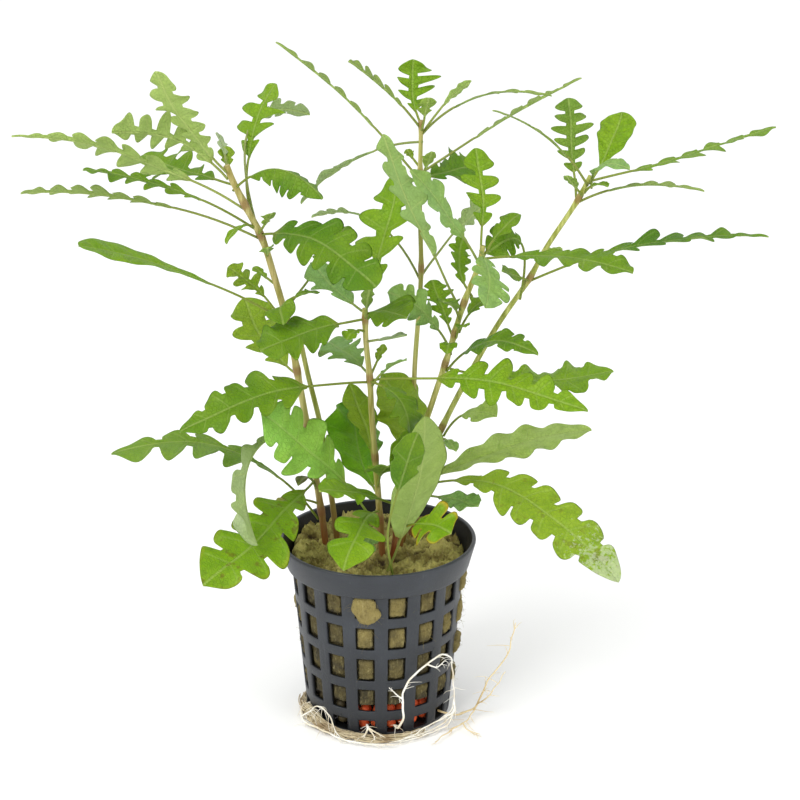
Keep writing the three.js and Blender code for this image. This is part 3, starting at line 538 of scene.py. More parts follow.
# %% Thin strands, for threads and roots
def thin_strands(starts, ways, lengths, radius, rng, steps=9, sides=5, sag=0.35, curl=0.45, floor=0.55):
    """Many thin tubes: start + way * length * s, plus a curl and a sag that grow with s^2 and a small
    wave."""
    s = np.linspace(0, 1, steps)[None, :, None]
    lengths = lengths[:, None, None]
    bend = unit(rng.normal(size=starts.shape))[:, None] * lengths
    bend = bend * rng.uniform(0.2, 1, (len(starts), 1, 1)) * curl
    wave = np.sin(s * rng.uniform(3, 9, (len(starts), 1, 1))) * unit(rng.normal(size=starts.shape))[:, None]
    paths = starts[:, None] + unit(ways)[:, None] * lengths * s + (bend - lengths * sag * UP) * s ** 2
    paths = paths + wave * s * lengths * 0.06
    paths[..., 2] = np.maximum(paths[..., 2], floor)
    return together([tube(path, radius * (1 - 0.7 * s[0, :, 0]), sides) for path in paths])


def wool_threads(rng=np.random.default_rng(21)):
    """Threads that start at random corners of the wool's top and fresh bulges, and lean outwards."""
    corners, fresh = wool["corners"], wool["fresh"][:, 0]
    distance = np.hypot(corners[:, 0], corners[:, 1])
    top = np.flatnonzero((corners[:, 2] > 47) & (distance > 2))
    bulging = np.flatnonzero(fresh > 0.3)
    starts = corners[np.concatenate([rng.choice(top, 620), rng.choice(bulging, 380)])]
    outward = unit(starts * [1, 1, 0])
    on_top = (starts[:, 2:] > 47).astype(float)
    ways = on_top * UP * 0.5 + (1 - on_top) * outward + rng.normal(size=starts.shape) * 0.8
    part = thin_strands(starts, ways, rng.uniform(0.7, 2.2, len(starts)), 0.045, rng, 5, 3, 0.3, 0.8)
    part["fresh"] = np.full((len(part["corners"]), 1), 0.8)
    part["cleft"] = np.zeros((len(part["corners"]), 1))
    return part


# %% [markdown]
# Its colour comes from where it is: beige where fresh wool pushes out of a window and olive where it stays
# back, partly its own colour and partly painted light and shade; darker in the lower rows and dark in every
# cleft as painted shade; and yellow-brown on top. Noise stretched along one way reads as threads.

# %% Wool material and pieces
paint = Paint("rock_wool")
damp = paint.ramp(paint.noise(170, 4, 0.6), 0.35, 0.65)
threads = paint.noise(1500, 4, 0.65, (1, 1, 0.25))
specks = paint.ramp(paint.noise(820, 3, 0.6), 0.55, 0.72)
height = paint.node("ShaderNodeSeparateXYZ", None, {0: paint.place()}, out=2)
sides = paint.mix(damp, hue(46, 40, 20), hue(86, 76, 38))
# Beige where the wool stands out of a window: partly its own colour, partly painted light, with the lower
# rows darker as painted shade.
sides = paint.mix(paint.ramp(paint.kept("fresh"), 0.12, 0.85), sides, hue(136, 122, 68))
top = paint.mix(damp, hue(112, 98, 42), hue(188, 178, 102))
wool_colour = paint.mix(paint.ramp(height, 0.0455, 0.0475), sides, top)
wool_colour = paint.mix(specks * 0.45, wool_colour, hue(80, 66, 28))
wool_colour = paint.mix(paint.ramp(threads, 0.5, 0.8) * 0.4, wool_colour, hue(196, 184, 130))
# Painted shade: dark brown in the clefts.
wool_colour = paint.mix(paint.ramp(paint.kept("cleft"), 0.3, 0.9) * 0.85, wool_colour, hue(64, 44, 20))
rock_wool = paint.finish(wool_colour, 0.8 + threads * 0.1, threads + damp * 0.6, 0.0007)

add_piece("wool", wool, rock_wool, "wool", "rock_wool")
threads_piece = add_piece("wool_threads", wool_threads(), rock_wool, "wool", "rock_wool")
print("threads:", len(threads_piece.data.polygons), "faces")

# %% [markdown]
# ## Granules under the wool
# Orange-red rounded granules show in the lowest windows. They are not identified for sure, so they are
# kept plain: small squashed balls of a few dozen faces each, in a few rings just inside the wall.

# %% Granules
def granule_part(rng=np.random.default_rng(11)):
    """Balls as rings: radius sin(t) and height cos(t), stretched and turned at random, set round the pot."""
    tilt = np.linspace(0.2, np.pi - 0.2, 7)[:, None]
    turn = np.linspace(0, 2 * np.pi, 11, endpoint=False)[None]
    ball = np.stack([np.sin(tilt) * np.cos(turn), np.sin(tilt) * np.sin(turn), np.cos(tilt) + 0 * turn], -1)
    parts = []
    rows = ((3.4, 17.3, 30), (5.7, 17.4, 31), (7.5, 17.5, 31), (4.2, 12.6, 20), (7.8, 11.8, 19))
    for z, radius, count in rows:
        for angle in 2 * np.pi * (np.arange(count) + rng.uniform(-0.2, 0.2, count)) / count:
            size = rng.uniform(1.4, 1.85, 3)
            middle = [radius * np.sin(angle), -radius * np.cos(angle), z + rng.uniform(-0.25, 0.25)]
            parts.append(closed(ball * size + np.array(middle)))
    return together(parts)


paint = Paint("fired_clay")
patch = paint.noise(420, 3)
clay = paint.mix(paint.ramp(patch, 0.3, 0.7), hue(222, 74, 24), hue(250, 118, 60))
clay = paint.mix(paint.ramp(paint.noise(1600, 2), 0.6, 0.75) * 0.35, clay, hue(140, 50, 24))
across = paint.node("ShaderNodeSeparateXYZ", None, {0: paint.place()})
stained = 1 - paint.ramp(across + patch * 0.004, -0.006, -0.002) + paint.ramp(across, 0.0135, 0.015)
clay = paint.mix(stained, clay, hue(72, 62, 36))
fired_clay = paint.finish(clay, 0.55 + patch * 0.2, patch, 0.0004)
granules = add_piece("granules", granule_part(), fired_clay, "granules", "granule_layer")
print("granules:", len(granules.data.polygons), "faces")

# %% [markdown]
# ## Stems
# Each stem is a tapering tube that swells at its nodes, where a pair of leaves grows. Its radius is a
# straight taper plus a small bell curve at each node. The same heights are kept on the mesh, so that the
# material can redden the skin at the nodes and near the wool.

# %% Stem paths and radii
STEMS = {
    "left": (1.05, 1, [
        [-14.4, 3, 44], [-14.8, 3, 48.5], [-16.9, 3, 66], [-22.3, 1, 103], [-25, 0, 118.5], [-27.8, -1,
        130], [-31.1, -2, 142], [-35.4, -3, 151.5], [-38.7, -4, 159], [-40, -5, 163]]),
    "inner": (0.95, 0.75, [
        [-11, 6, 44], [-11.6, 6, 48.5], [-13.1, 6, 62], [-16.2, 6, 85], [-19.7, 6, 101], [-22.2, 6.5, 114]]),
    "front": (1.05, 0.8, [
        [1.4, -2, 44], [1.2, -2, 49], [0.7, -3, 59], [-0.1, -5, 72.5], [-1.4, -7, 91], [-2, -8, 104], [-3,
        -8, 115], [-3.2, -8, 124]]),
    "middle": (0.95, 0.8, [
        [5.6, 2, 44], [6.3, 2, 49.5], [8.6, 1, 67], [11.9, 0, 82.5], [15.5, -1, 95], [19.7, -2, 109],
        [23.8, -3, 124], [28, -4, 136], [28.7, -4, 140.5]]),
    "back": (0.85, 0.65, [
        [9.5, 13, 44], [9.5, 13, 65], [10, 14, 83], [10.5, 15, 99.5], [11.6, 16, 115.5], [12.2, 16, 127],
        [11.8, 17, 147], [12.1, 17, 170]]),
    "right": (0.95, 0.7, [
        [6.4, 9, 44], [7.5, 9, 50.5], [10.6, 9, 64], [16.5, 9, 79], [22.4, 9, 92], [33.3, 8, 113.5],
        [42.2, 7, 128], [46.2, 7, 136], [54.8, 6, 150.5], [58, 5, 157.5]]),
    "short": (0.85, 0.7, [
        [3.5, -8, 44], [3.8, -8, 48.5], [5.2, -9, 59], [5.5, -10, 67], [4.6, -10, 70.5]]),
}
STEM_NODES = {
    "left": [60, 86, 103, 119, 143, 152], "inner": [66], "front": [60, 80, 104, 121],
    "middle": [73, 106, 115, 124], "back": [128, 155, 169], "right": [67, 83, 128, 151], "short": [59],
}
WARMTH = {"left": 0.42, "inner": 0.2, "front": 0.35, "middle": 0.3, "back": 0.35, "right": 0.05, "short": 0.7}
PATHS = {name: smooth_path(points, 180) for name, (_, _, points) in STEMS.items()}


def near_node(name, z):
    """Bell curves at the stem's nodes: exp(-((z - node) / 2)^2), summed."""
    return sum(np.exp(-(((z - node) / 2) ** 2)) for node in STEM_NODES[name])


def stem_radius(name, z):
    """Taper from the foot to the top, with a swelling at each node."""
    foot, top, points = STEMS[name]
    share = (z - 44) / (points[-1][2] - 44)
    return foot + (top - foot) * share + 0.35 * near_node(name, z)


def stem_part(name):
    """A tube with four soft ridges: the radius also varies with cos(4 turns)."""
    path = PATHS[name]
    z = path[:, 2]
    sides = 20
    turn = np.linspace(0, 2 * np.pi, sides, endpoint=False)
    radii = (stem_radius(name, z) * 0.9 - 0.08 * near_node(name, z))[:, None]
    radii = radii * (1 + 0.04 * np.cos(4 * turn)[None])
    warm = np.full(len(z), WARMTH[name])
    return tube(path, radii, sides, node=near_node(name, z), height=z / 100, warm=warm)


# %% [markdown]
# The skin is olive green with pinkish brown streaks, more on some stems than on others. It turns
# orange-brown near the wool and in a ring at each node. The streaks are noise squeezed along Z.

# %% Stem material and pieces
paint = Paint("stem_skin")
lines = paint.noise(900, 2, 0.5, (1, 1, 0.03))
blotch = paint.noise(60, 2)
height, warmth = paint.kept("height"), paint.kept("warm")
node_ring = paint.ramp(paint.kept("node"), 0.4, 0.95)
green = paint.mix(paint.ramp(lines, 0.3, 0.7), hue(132, 140, 42), hue(184, 188, 104))
pink = paint.mix(paint.ramp(lines, 0.3, 0.7), hue(146, 104, 62), hue(196, 178, 122))
skin_colour = paint.mix(paint.ramp(warmth + lines * 0.5 + blotch * 0.5 - 0.5, 0.1, 0.75), green, pink)
skin_colour = paint.mix(paint.ramp(height + blotch * 0.16, 0.86, 0.6) * 0.45, skin_colour, hue(134, 92, 48))
foot = paint.ramp(height + blotch * 0.12, 0.76, 0.56) * (warmth + 0.4)
skin_colour = paint.mix(foot, skin_colour, hue(124, 60, 18))
skin_colour = paint.mix(node_ring * 0.6, skin_colour, hue(126, 78, 44))
stem_skin = paint.finish(skin_colour, 0.42 + lines * 0.2, lines, 0.0003)

for name in STEMS:
    add_piece(f"{name}_stem_skin", stem_part(name), stem_skin, "stem", f"{name}_stem")
print("stems:", len(STEMS))

# %% [markdown]
# ## Leaves
# The leaf of this plant is long and cut into rounded lobes, like fingers that lean towards its tip. It
# could be drawn as an outline and filled, but then it stays flat. Here it is a grid instead: rows step
# along a bent midrib, and each row runs from margin to margin. The row's half width is a full outline
# times a notch between lobes, and sliding every point forward by its distance from the midrib makes the
# lobes lean. Fold, twist, waves and quilting between the side veins are then added on the same grid.

# %% The outline and the midrib of a leaf
STALK, GAP = 0.45, 0.5
LAST_LOBE = 1.3
WOOL_FEET = {"wool": (3, -14), "wool_front": (4.5, -20)}


def half_width(share, width, lobes, cut, rng, slim=0, blunt=0.62, late=1.2, square=2.2):
    """width / 2 * sin(pi share^late)^blunt * (1 - slim share) is the whole outline. A lobe is a rounded
    finger, (1 - (u / reach)^square)^(1 / square), with u counted from its middle in lobes. Beside it the
    leaf is cut back, and the deeper the cut, the narrower the finger."""
    share = np.clip(share, 0, 1)
    outline = width / 2 * np.sin(np.pi * share ** late).clip(0) ** blunt * (1 - slim * share)
    if not lobes:
        return outline
    lobe = share * (lobes + LAST_LOBE) + rng.uniform(-0.16, 0.16)
    own = np.interp(lobe, np.arange(-1, 9) + 0.5, rng.uniform(0.86, 1.1, 10))
    depth = np.clip(cut * (1.6 - 0.45 * share), 0, 0.8)
    off = np.abs(lobe - np.floor(lobe) - 0.5) / (0.46 - 0.12 * depth)
    finger = np.where(lobe < lobes + 0.5, (1 - off.clip(0, 1) ** square) ** (1 / square), 1)
    return outline * own * (1 - depth * (1 - finger))


def stalk_start(stem, height, tip):
    """A point just off the stem's skin, on the side that the leaf grows to."""
    if stem in WOOL_FEET:
        return np.array([*WOOL_FEET[stem], height])
    path = PATHS[stem]
    middle = path[np.abs(path[:, 2] - height).argmin()]
    away = unit((np.array(tip, float) - middle) * [1, 1, 0])
    return middle + away * (stem_radius(stem, height) + GAP + STALK)


def midrib(start, tip, arch, bow):
    """Control point of a quadratic curve that arches up and bows sideways, and the direction up."""
    chord = unit(tip - start)
    rise = unit(UP - chord * chord[2])
    return (start + tip) / 2 + 2 * arch * rise + 2 * bow * np.cross(chord, rise), rise


def soft_step(x):
    """0 to 1 with level ends: 3x^2 - 2x^3."""
    x = np.clip(x, 0, 1)
    return x * x * (3 - 2 * x)


# %% The leaf surface
def leaf_part(leaf, number, fine=1.0):
    """Rows t along the midrib curve by places v from margin to margin, top and underside, as closed rings."""
    stem, height, tip, arch, bow, width, roll, stalk, lobes, cut, tone, *more = leaf
    extra = more[0] if more else {}
    rng = np.random.default_rng(500 + number)
    start, tip = stalk_start(stem, height, tip), np.array(tip, float)
    control, rise = midrib(start, tip, arch, bow)
    length = np.linalg.norm(tip - start)
    rows = int((lobes + 2.2) * 19 * fine)
    blade = np.concatenate([np.linspace(0, 1, rows)[:-1], 1 - np.array([0.5, 0.2, 0.06, 0.01]) / rows])
    t = np.concatenate([np.linspace(-2.2 / length, stalk, 9)[:-1], stalk + (1 - stalk) * blade])
    share = np.clip((t - stalk) / (1 - stalk), 0, 1)

    col = t[:, None]
    centre = (1 - col) ** 2 * start + 2 * col * (1 - col) * control + col ** 2 * tip
    along = unit(2 * (1 - col) * (control - start) + 2 * col * (tip - control))
    flat = unit(rise - along * (along @ rise)[:, None])
    twist = extra.get("twist", rng.uniform(-9, 9))
    angle = np.radians(roll + twist * (np.clip(t, 0, 1) - 0.5))[:, None]
    normal = flat * np.cos(angle) + np.cross(along, flat) * np.sin(angle)
    side = np.cross(along, normal)
    sway = 0.048 * length * np.sin(2 * np.pi * (col * 1.2 + rng.uniform()))
    centre = centre + sway * np.clip(col * (1 - col), 0, 1) * side

    half = int(9 * fine) + 1
    w = np.linspace(-1, 1, 2 * half + 1)
    v = 0.6 * w + 0.4 * np.sin(np.pi / 2 * w)
    form = {key: extra[key] for key in ("slim", "blunt", "late", "square") if key in extra}
    left, right = (half_width(share, width * part, lobes, cut, rng, **form)
                   for part in extra.get("sides", (1, 1)))
    stalk_half = 0.78 * STALK * (1 - 0.3 * np.clip(t, 0, 1)) * (1 - share) ** 0.5
    left, right = np.maximum(left, stalk_half), np.maximum(right, stalk_half)
    reach = np.where(v[None] < 0, left[:, None], right[:, None])
    a = np.abs(v)[None]
    y = a * reach
    lateral = v[None] * reach
    body = soft_step(share / 0.05)[:, None]
    lobe = (share * (lobes + LAST_LOBE))[:, None]
    if lobes == 0:
        lobe = share[:, None] * 7

    lean = extra.get("lean", 0.45) * y * y / (y + 1.0) * np.clip(1 - col, 0, 1) ** 0.6 * body
    bend = math.radians(extra.get("fold", 10))
    waver = rng.uniform(0, 1, (3, 2))[:, (v > 0).astype(int)][:, None]
    own = np.sin(2 * np.pi * (0.37 * lobe + waver[0])) + np.sin(2 * np.pi * (0.61 * lobe + waver[1]))
    finger = np.sin(2 * np.pi * lobe) * (0.10 if lobes else 0.0)
    slow = np.sin(2 * np.pi * (1.1 * share[:, None] + waver[2]))
    lift = np.sin(bend) * y + y * (extra.get("wave", 0.11) * own + finger) - 0.018 * y ** 2
    lift += extra.get("ruffle", 0.06) * width * 0.5 * slow * a ** 2 * np.sin(np.pi * share[:, None])
    vein_place = lobe - 0.5 + 0.32 * (1 - a)
    quilt = np.cos(2 * np.pi * vein_place)
    lift -= 0.014 * width * quilt * np.clip(a * (1 - a ** 2) * 2.4, 0, 1) * body

    round_half = stalk_half[:, None] * np.sqrt(np.clip(1 - a ** 2, 0, 1))
    sheet = 0.13 * (1 - a ** 8)
    rib = (0.42 - 0.3 * col) * np.exp(-((lateral / 0.5) ** 2))
    above = (1 - body) * round_half + body * (sheet - 0.25 * rib)
    below = -(1 - body) * round_half - body * (sheet + rib)

    def layer(height):
        aside = (np.cos(bend) * lateral)[..., None] * side[:, None]
        upward = (body * lift + height)[..., None] * normal[:, None]
        return centre[:, None] + aside + upward + lean[..., None] * along[:, None]

    def ring(values):
        return np.concatenate([values, values[:, -2:0:-1]], 1)

    rings = np.concatenate([layer(above), layer(below)[:, -2:0:-1]], 1)
    spread = np.ones((len(t), len(v)))
    under = np.concatenate([0 * spread, spread[:, -2:0:-1]], 1)
    under = abs(extra.get("flip", 0) - under)
    tint = np.broadcast_to(np.array(TINTS[extra.get("tint", tone)]), (*under.shape, 4))
    kept = {"phase": ring(vein_place * spread), "edge": ring(a * spread), "across": ring(lateral),
            "share": ring(share[:, None] * spread), "under": under, "tint": tint}
    for key in ("age", "bloom", "rust"):
        kept[key] = ring(extra.get(key, 0.0) * spread)
    return closed(rings, **kept)


# %% [markdown]
# Young leaves are yellow-green, older ones deeper, and those seen from below are pale. The blue-green of
# glossy leaves that catch the sky is a painted sheen in their tint. The tone is kept on the mesh, so a few
# materials do for all the leaves.

# %% Leaf tones and the leaf list
# The blue tint, and mint on front_leaf_6, are a painted sheen: the blue-white reflection of the sky is put
# into the leaf colour.
TINTS = {
    "bright": hue(126, 165, 18), "deep": hue(104, 141, 17), "yellow": hue(146, 174, 40),
    "pale": hue(176, 200, 106), "blue": hue(145, 184, 106), "grey": hue(182, 198, 152),
    "brown": hue(96, 78, 40), "tan": hue(186, 166, 92), "olive": hue(142, 162, 84),
    "dark": hue(84, 126, 8), "sage": hue(122, 154, 54), "mint": hue(148, 204, 84),
    "leafy": hue(122, 186, 26),
}
# A leaf seen nearly edge-on, with its lobes on one side.
STRIP = {"tint": "olive", "wave": 0.05, "sides": (0.3, 1.1), "lean": 1.0}

# Stem, height, tip, arch, bow, width, roll in degrees, stalk's share, lobes on a side, cut, tone and extras.
LEAVES = {
    "left_leaf_1": ("left", 152, (-99, 8, 168), 4.5, 0, 19, 50, 0.2, 6, 0.5, "pale",
        {"twist": -56, "slim": 0.7, "sides": (0.75, 1.2), "lean": 0.9}),
    "left_leaf_2": ("left", 143, (-94, -14, 158), 4, 0, 12, 30, 0.35, 6, 0.62, "pale",
        {"tint": "olive", "twist": 0, "wave": 0.03, "sides": (0.9, 0.8), "lean": 1.3}),
    "left_leaf_3": ("left", 163, (-56, -24, 193), -1, 1, 11.5, 15, 0.1, 5, 0.4, "pale", {"lean": 0.2}),
    "left_leaf_4": ("left", 161, (-70, -8, 173), 4, 0, 15, 55, 0.1, 5, 0.6, "pale",
        {"lean": 0.2, "twist": 0, "sides": (1.1, 0.75)}),
    "left_leaf_5": ("left", 157, (-65, 22, 159), 0, -1, 15, -15, 0.15, 4, 0.5, "deep"),
    "left_leaf_6": ("left", 152, (-27.5, 16, 180.5), 1, -3, 20, -25, 0.33, 3, 0.7, "bright",
        {"slim": 0.3, "late": 1.35}),
    "left_leaf_7": ("left", 158, (-14, -16, 157), 6, 0, 16, 20, 0.1, 5, 0.24, "deep",
        {"fold": -40, "wave": 0.03, "twist": 0, "lean": 0.0, "tint": "dark", "square": 3,
         "sides": (1.0, 0.72)}),
    "left_leaf_8": ("left", 143.5, (0, -30, 137), 5, 1, 18.5, 25, 0.08, 5, 0.36, "deep",
        {"tint": "dark", "late": 1.0, "blunt": 0.42}),
    "left_leaf_9": ("left", 119, (-79, -16, 144), 2.5, 1, 14, -5, 0.35, 0, 0, "bright",
        {"wave": 0.03, "blunt": 0.36, "late": 2.2}),
    "left_leaf_10": ("left", 102, (-38, 26, 116), -2, -1, 16, -15, 0.1, 3, 0.4, "yellow"),
    "left_leaf_11": ("left", 60, (-73, -14, 84), 10.5, 0, 16, -10, 0.2, 4, 0.45, "bright",
        {"sides": (1.3, 0.6), "lean": 0.8, "tint": "sage"}),
    "left_leaf_12": ("left", 86, (-32, -38, 67), 8, 8, 16, 85, 0.15, 3, 0.4, "pale",
        {"fold": 35, "late": 2.0, "tint": "grey"}),
    "left_leaf_13": ("left", 69, (-46, -46, 59), 1, -2, 21, -25, 0.08, 4, 0.38, "bright",
        {"age": 0.12, "rust": 0.6}),
    "front_leaf_1": ("front", 124, (6, 20, 154), -1, 0, 20, -15, 0.15, 3, 0.5, "bright",
        {"slim": 0.3, "sides": (1.2, 1)}),
    "front_leaf_2": ("front", 121, (-31, -20, 116), 1, 0, 18, -15, 0.2, 3, 0.15, "deep", {"blunt": 0.36}),
    "front_leaf_3": ("front", 104, (56, -34, 104), 4, 1, 19, 30, 0.3, 5, 0.45, "bright",
        {"slim": 0.5, "late": 1.05}),
    "front_leaf_4": ("front", 103, (-53, -26, 95), 4, -1, 22, -25, 0.3, 4, 0.32, "deep",
        {"slim": 0.5, "late": 0.92}),
    "front_leaf_5": ("front", 68, (-7, 14, 89), 0, -2, 21, 25, 0.06, 0, 0, "deep", {"tint": "leafy"}),
    "front_leaf_6": ("front", 60, (-31, -20, 98), 2, 0, 19, -65, 0.3, 4, 0.35, "blue", {"tint": "mint"}),
    "front_leaf_7": ("front", 63, (-9, -34, 58), 4, 0, 17, -10, 0.1, 2, 0.5, "bright", {"slim": 0.15}),
    "middle_leaf_1": ("middle", 124, (2, -14, 174), -1, 0, 14, 15, 0.28, 4, 0.34, "blue"),
    "middle_leaf_2": ("middle", 137, (9, -21, 166), 1, 0, 9.5, -65, 0.2, 3, 0.3, "blue"),
    "middle_leaf_3": ("middle", 138, (27, 14, 163), 0, 1, 15, 20, 0.25, 3, 0.6, "bright", {"slim": 0.25}),
    "middle_leaf_4": ("middle", 139, (29, -26, 130), 2, -1, 14, -40, 0.1, 4, 0.35, "blue"),
    "middle_leaf_5": ("middle", 113, (3, -6, 128), 2, 0, 12, -45, 0.15, 4, 0.4, "blue"),
    "middle_leaf_6": ("middle", 137, (67, -30, 141), 2, -1, 15, 5, 0.15, 4, 0.35, "deep"),
    "middle_leaf_7": ("middle", 106, (43, -26, 117), 5, 0, 15, 20, 0.2, 4, 0.35, "deep",
        {"tint": "dark", "slim": 0.55, "late": 0.9}),
    "middle_leaf_8": ("middle", 104, (66, 6, 101), -3, 0, 18, 5, 0.25, 4, 0.25, "bright"),
    "middle_leaf_9": ("middle", 73, (1, 11, 98), 1, 3, 17, 0, 0.08, 0, 0, "yellow"),
    "back_leaf_1": ("back", 169, (10, 26, 185), -1, -1, 15, 20, 0.15, 3, 0.62, "bright",
        {"sides": (0.75, 1.15)}),
    "back_leaf_2": ("back", 168, (47, 4, 180), 5, 1, 7, 5, 0.25, 4, 0.6, "bright", STRIP),
    "back_leaf_3": ("back", 170, (-7.5, 8, 188.5), 1, 0, 7, -25, 0.2, 4, 0.6, "bright", STRIP),
    "back_leaf_4": ("back", 156, (57, 34, 178), 1, 0, 7, -10, 0.3, 5, 0.6, "bright",
        {**STRIP, "sides": (1.1, 0.3)}),
    "back_leaf_5": ("back", 155, (-28, 30, 189), 2, 0, 5.5, 5, 0.3, 5, 0.6, "bright",
        {**STRIP, "wave": 0.04}),
    "back_leaf_6": ("back", 154, (28, 26, 155), 0, 0, 17, 20, 0.05, 3, 0.32, "deep", {"tint": "dark"}),
    "right_leaf_1": ("right", 151, (52, 14, 177), 0, 0, 13, 5, 0.22, 5, 0.55, "bright",
        {"tint": "sage", "blunt": 0.5}),
    "right_leaf_2": ("right", 157, (67, 14, 173), 0, 1, 13, 0, 0.15, 0, 0, "bright",
        {"late": 1.6, "wave": 0.05}),
    "right_leaf_3": ("right", 156, (109, 14, 169), -1, -1, 13, 5, 0.2, 5, 0.6, "bright",
        {"sides": (0.5, 1.1), "slim": 0.3, "lean": 1.0, "tint": "sage"}),
    "right_leaf_4": ("right", 157, (31, 0, 177), 3, 1, 5.5, -5, 0.2, 4, 0.6, "pale",
        {"tint": "olive", "wave": 0.04, "sides": (1.1, 0.3)}),
    "right_leaf_6": ("right", 128, (108, 10, 139), 4, 0, 13, 0, 0.2, 6, 0.5, "bright",
        {"sides": (1.3, 1.1), "slim": 0.55, "lean": 1.3, "tint": "dark"}),
    "right_leaf_7": ("right", 66.5, (60, 2, 85), 2.5, 0, 15, -50, 0.05, 4, 0.08, "yellow",
        {"wave": 0.03, "flip": 1, "tint": "pale"}),
    "right_leaf_8": ("right", 66, (64.5, -46, 60), 11, 0, 17.5, 20, 0.15, 6, 0.35, "bright",
        {"bloom": 0.56, "rust": 0.35, "tint": "yellow"}),
    "short_leaf_1": ("short", 68, (-15, -36, 82), 1, 2, 10, -25, 0.15, 3, 0.2, "bright"),
    "short_leaf_2": ("short", 59, (20, -32, 68), 3, 1, 16, 35, 0.4, 2, 0.45, "bright", {"age": 0.6}),
    "basal_leaf": ("wool", 49.3, (13, -20, 97), -2, -1, 21.5, -10, 0.22, 0, 0, "pale",
        {"wave": 0.02, "ruffle": 0.01, "late": 0.88}),
    "basal_leaf_2": ("wool_front", 49.3, (11, -29, 96), -2, 6, 11.5, -10, 0.66, 1, 0.2, "deep",
        {"flip": 1, "tint": "dark", "wave": 0.04}),
}

# %% [markdown]
# The blade's green is broken up at three sizes: slow patches, a fine net of veins, and the side veins
# that run into the lobes. The underside is paler and duller. Some old leaves have a yellow margin, rusty
# spots, or a white bloom that thickens towards the tip. A leaf is thin, so a share of the light passes
# through it: that is what makes a plant look alive in front of a window.

# %% Leaf materials
def leaf_paint(name, glow):
    """The blade's finish. It reads the values kept on the mesh, and Object coordinates for its noises."""
    paint = Paint(name)
    tint, under = paint.kept("tint", 0), paint.kept("under")
    edge, share = paint.kept("edge"), paint.kept("share")
    patches, mottle = paint.noise(70, 3), paint.noise(420, 3)
    cells = {"Vector": paint.place(), "Scale": 900}
    net = paint.node("ShaderNodeTexVoronoi", {"feature": "DISTANCE_TO_EDGE"}, cells)
    net = paint.ramp(net, 0.02, 0.16)
    off = abs(paint.node("ShaderNodeMath", {"operation": "FRACT"}, {0: paint.kept("phase") + 0.5}) - 0.5)
    side_vein = (1 - paint.ramp(off, 0.012, 0.06)) * (1 - paint.ramp(edge, 0.7, 0.98))
    rib = 1 - paint.ramp(abs(paint.kept("across")), 0.16, 0.5)
    veins = paint.node("ShaderNodeMath", {"operation": "MAXIMUM"}, {0: rib, 1: side_vein * 0.5})
    colour = paint.mix(paint.ramp(patches, 0.35, 0.7) * 0.32, tint, hue(156, 182, 36))
    colour = paint.mix(paint.ramp(mottle, 0.4, 0.75) * 0.3, colour, hue(74, 116, 16))
    colour = paint.mix(0.12 - net * 0.12, colour, hue(56, 96, 16))
    colour = paint.mix(under * 0.42, colour, hue(166, 190, 112))
    colour = paint.mix(veins * (0.26 + under * 0.3), colour, hue(196, 212, 128))
    colour = paint.mix((1 - paint.ramp(share, 0, 0.08)) * 0.6, colour, hue(142, 142, 62))
    yellow = paint.ramp(edge + patches * 0.3, 0.95, 1.15) * paint.kept("age")
    colour = paint.mix(yellow, colour, hue(214, 160, 44))
    rust = paint.ramp(paint.noise(330, 3, 0.6) + share * 0.06, 0.62, 0.69) * paint.kept("rust")
    colour = paint.mix(rust, colour, hue(104, 74, 24))
    bloom = paint.ramp(paint.noise(900, 4, 0.65) + share * 1.1, 1.38, 1.5) * paint.kept("bloom")
    colour = paint.mix(bloom * 0.75, colour, hue(226, 232, 204))
    height = 0.35 * net + veins * -0.6 + mottle * 0.3
    rough = 0.42 + under * 0.2 + mottle * 0.14
    return paint.finish(colour, rough, height, 0.0003, glow, 0.24, **{"Specular IOR Level": 0.3})


leaf_green = leaf_paint("leaf_green", hue(150, 205, 20))
leaf_pale = leaf_paint("leaf_pale", hue(186, 214, 90))
FINISH = {"pale": leaf_pale, "blue": leaf_pale}

faces = 0
for number, (name, leaf) in enumerate(LEAVES.items()):
    finish = FINISH.get(leaf[10], leaf_green)
    piece = add_piece(f"{name}_blade", leaf_part(leaf, number), finish, f"leaf_{leaf[10]}", name)
    faces += len(piece.data.polygons)
print("leaves:", len(LEAVES), "with", faces, "faces")

# %% [markdown]
# ## Small and young leaves
# At each node sit small leaves and buds. In CAD they are one solid with their stem. Here each stem's
# small leaves are one piece, so that they share a finish and ride together.

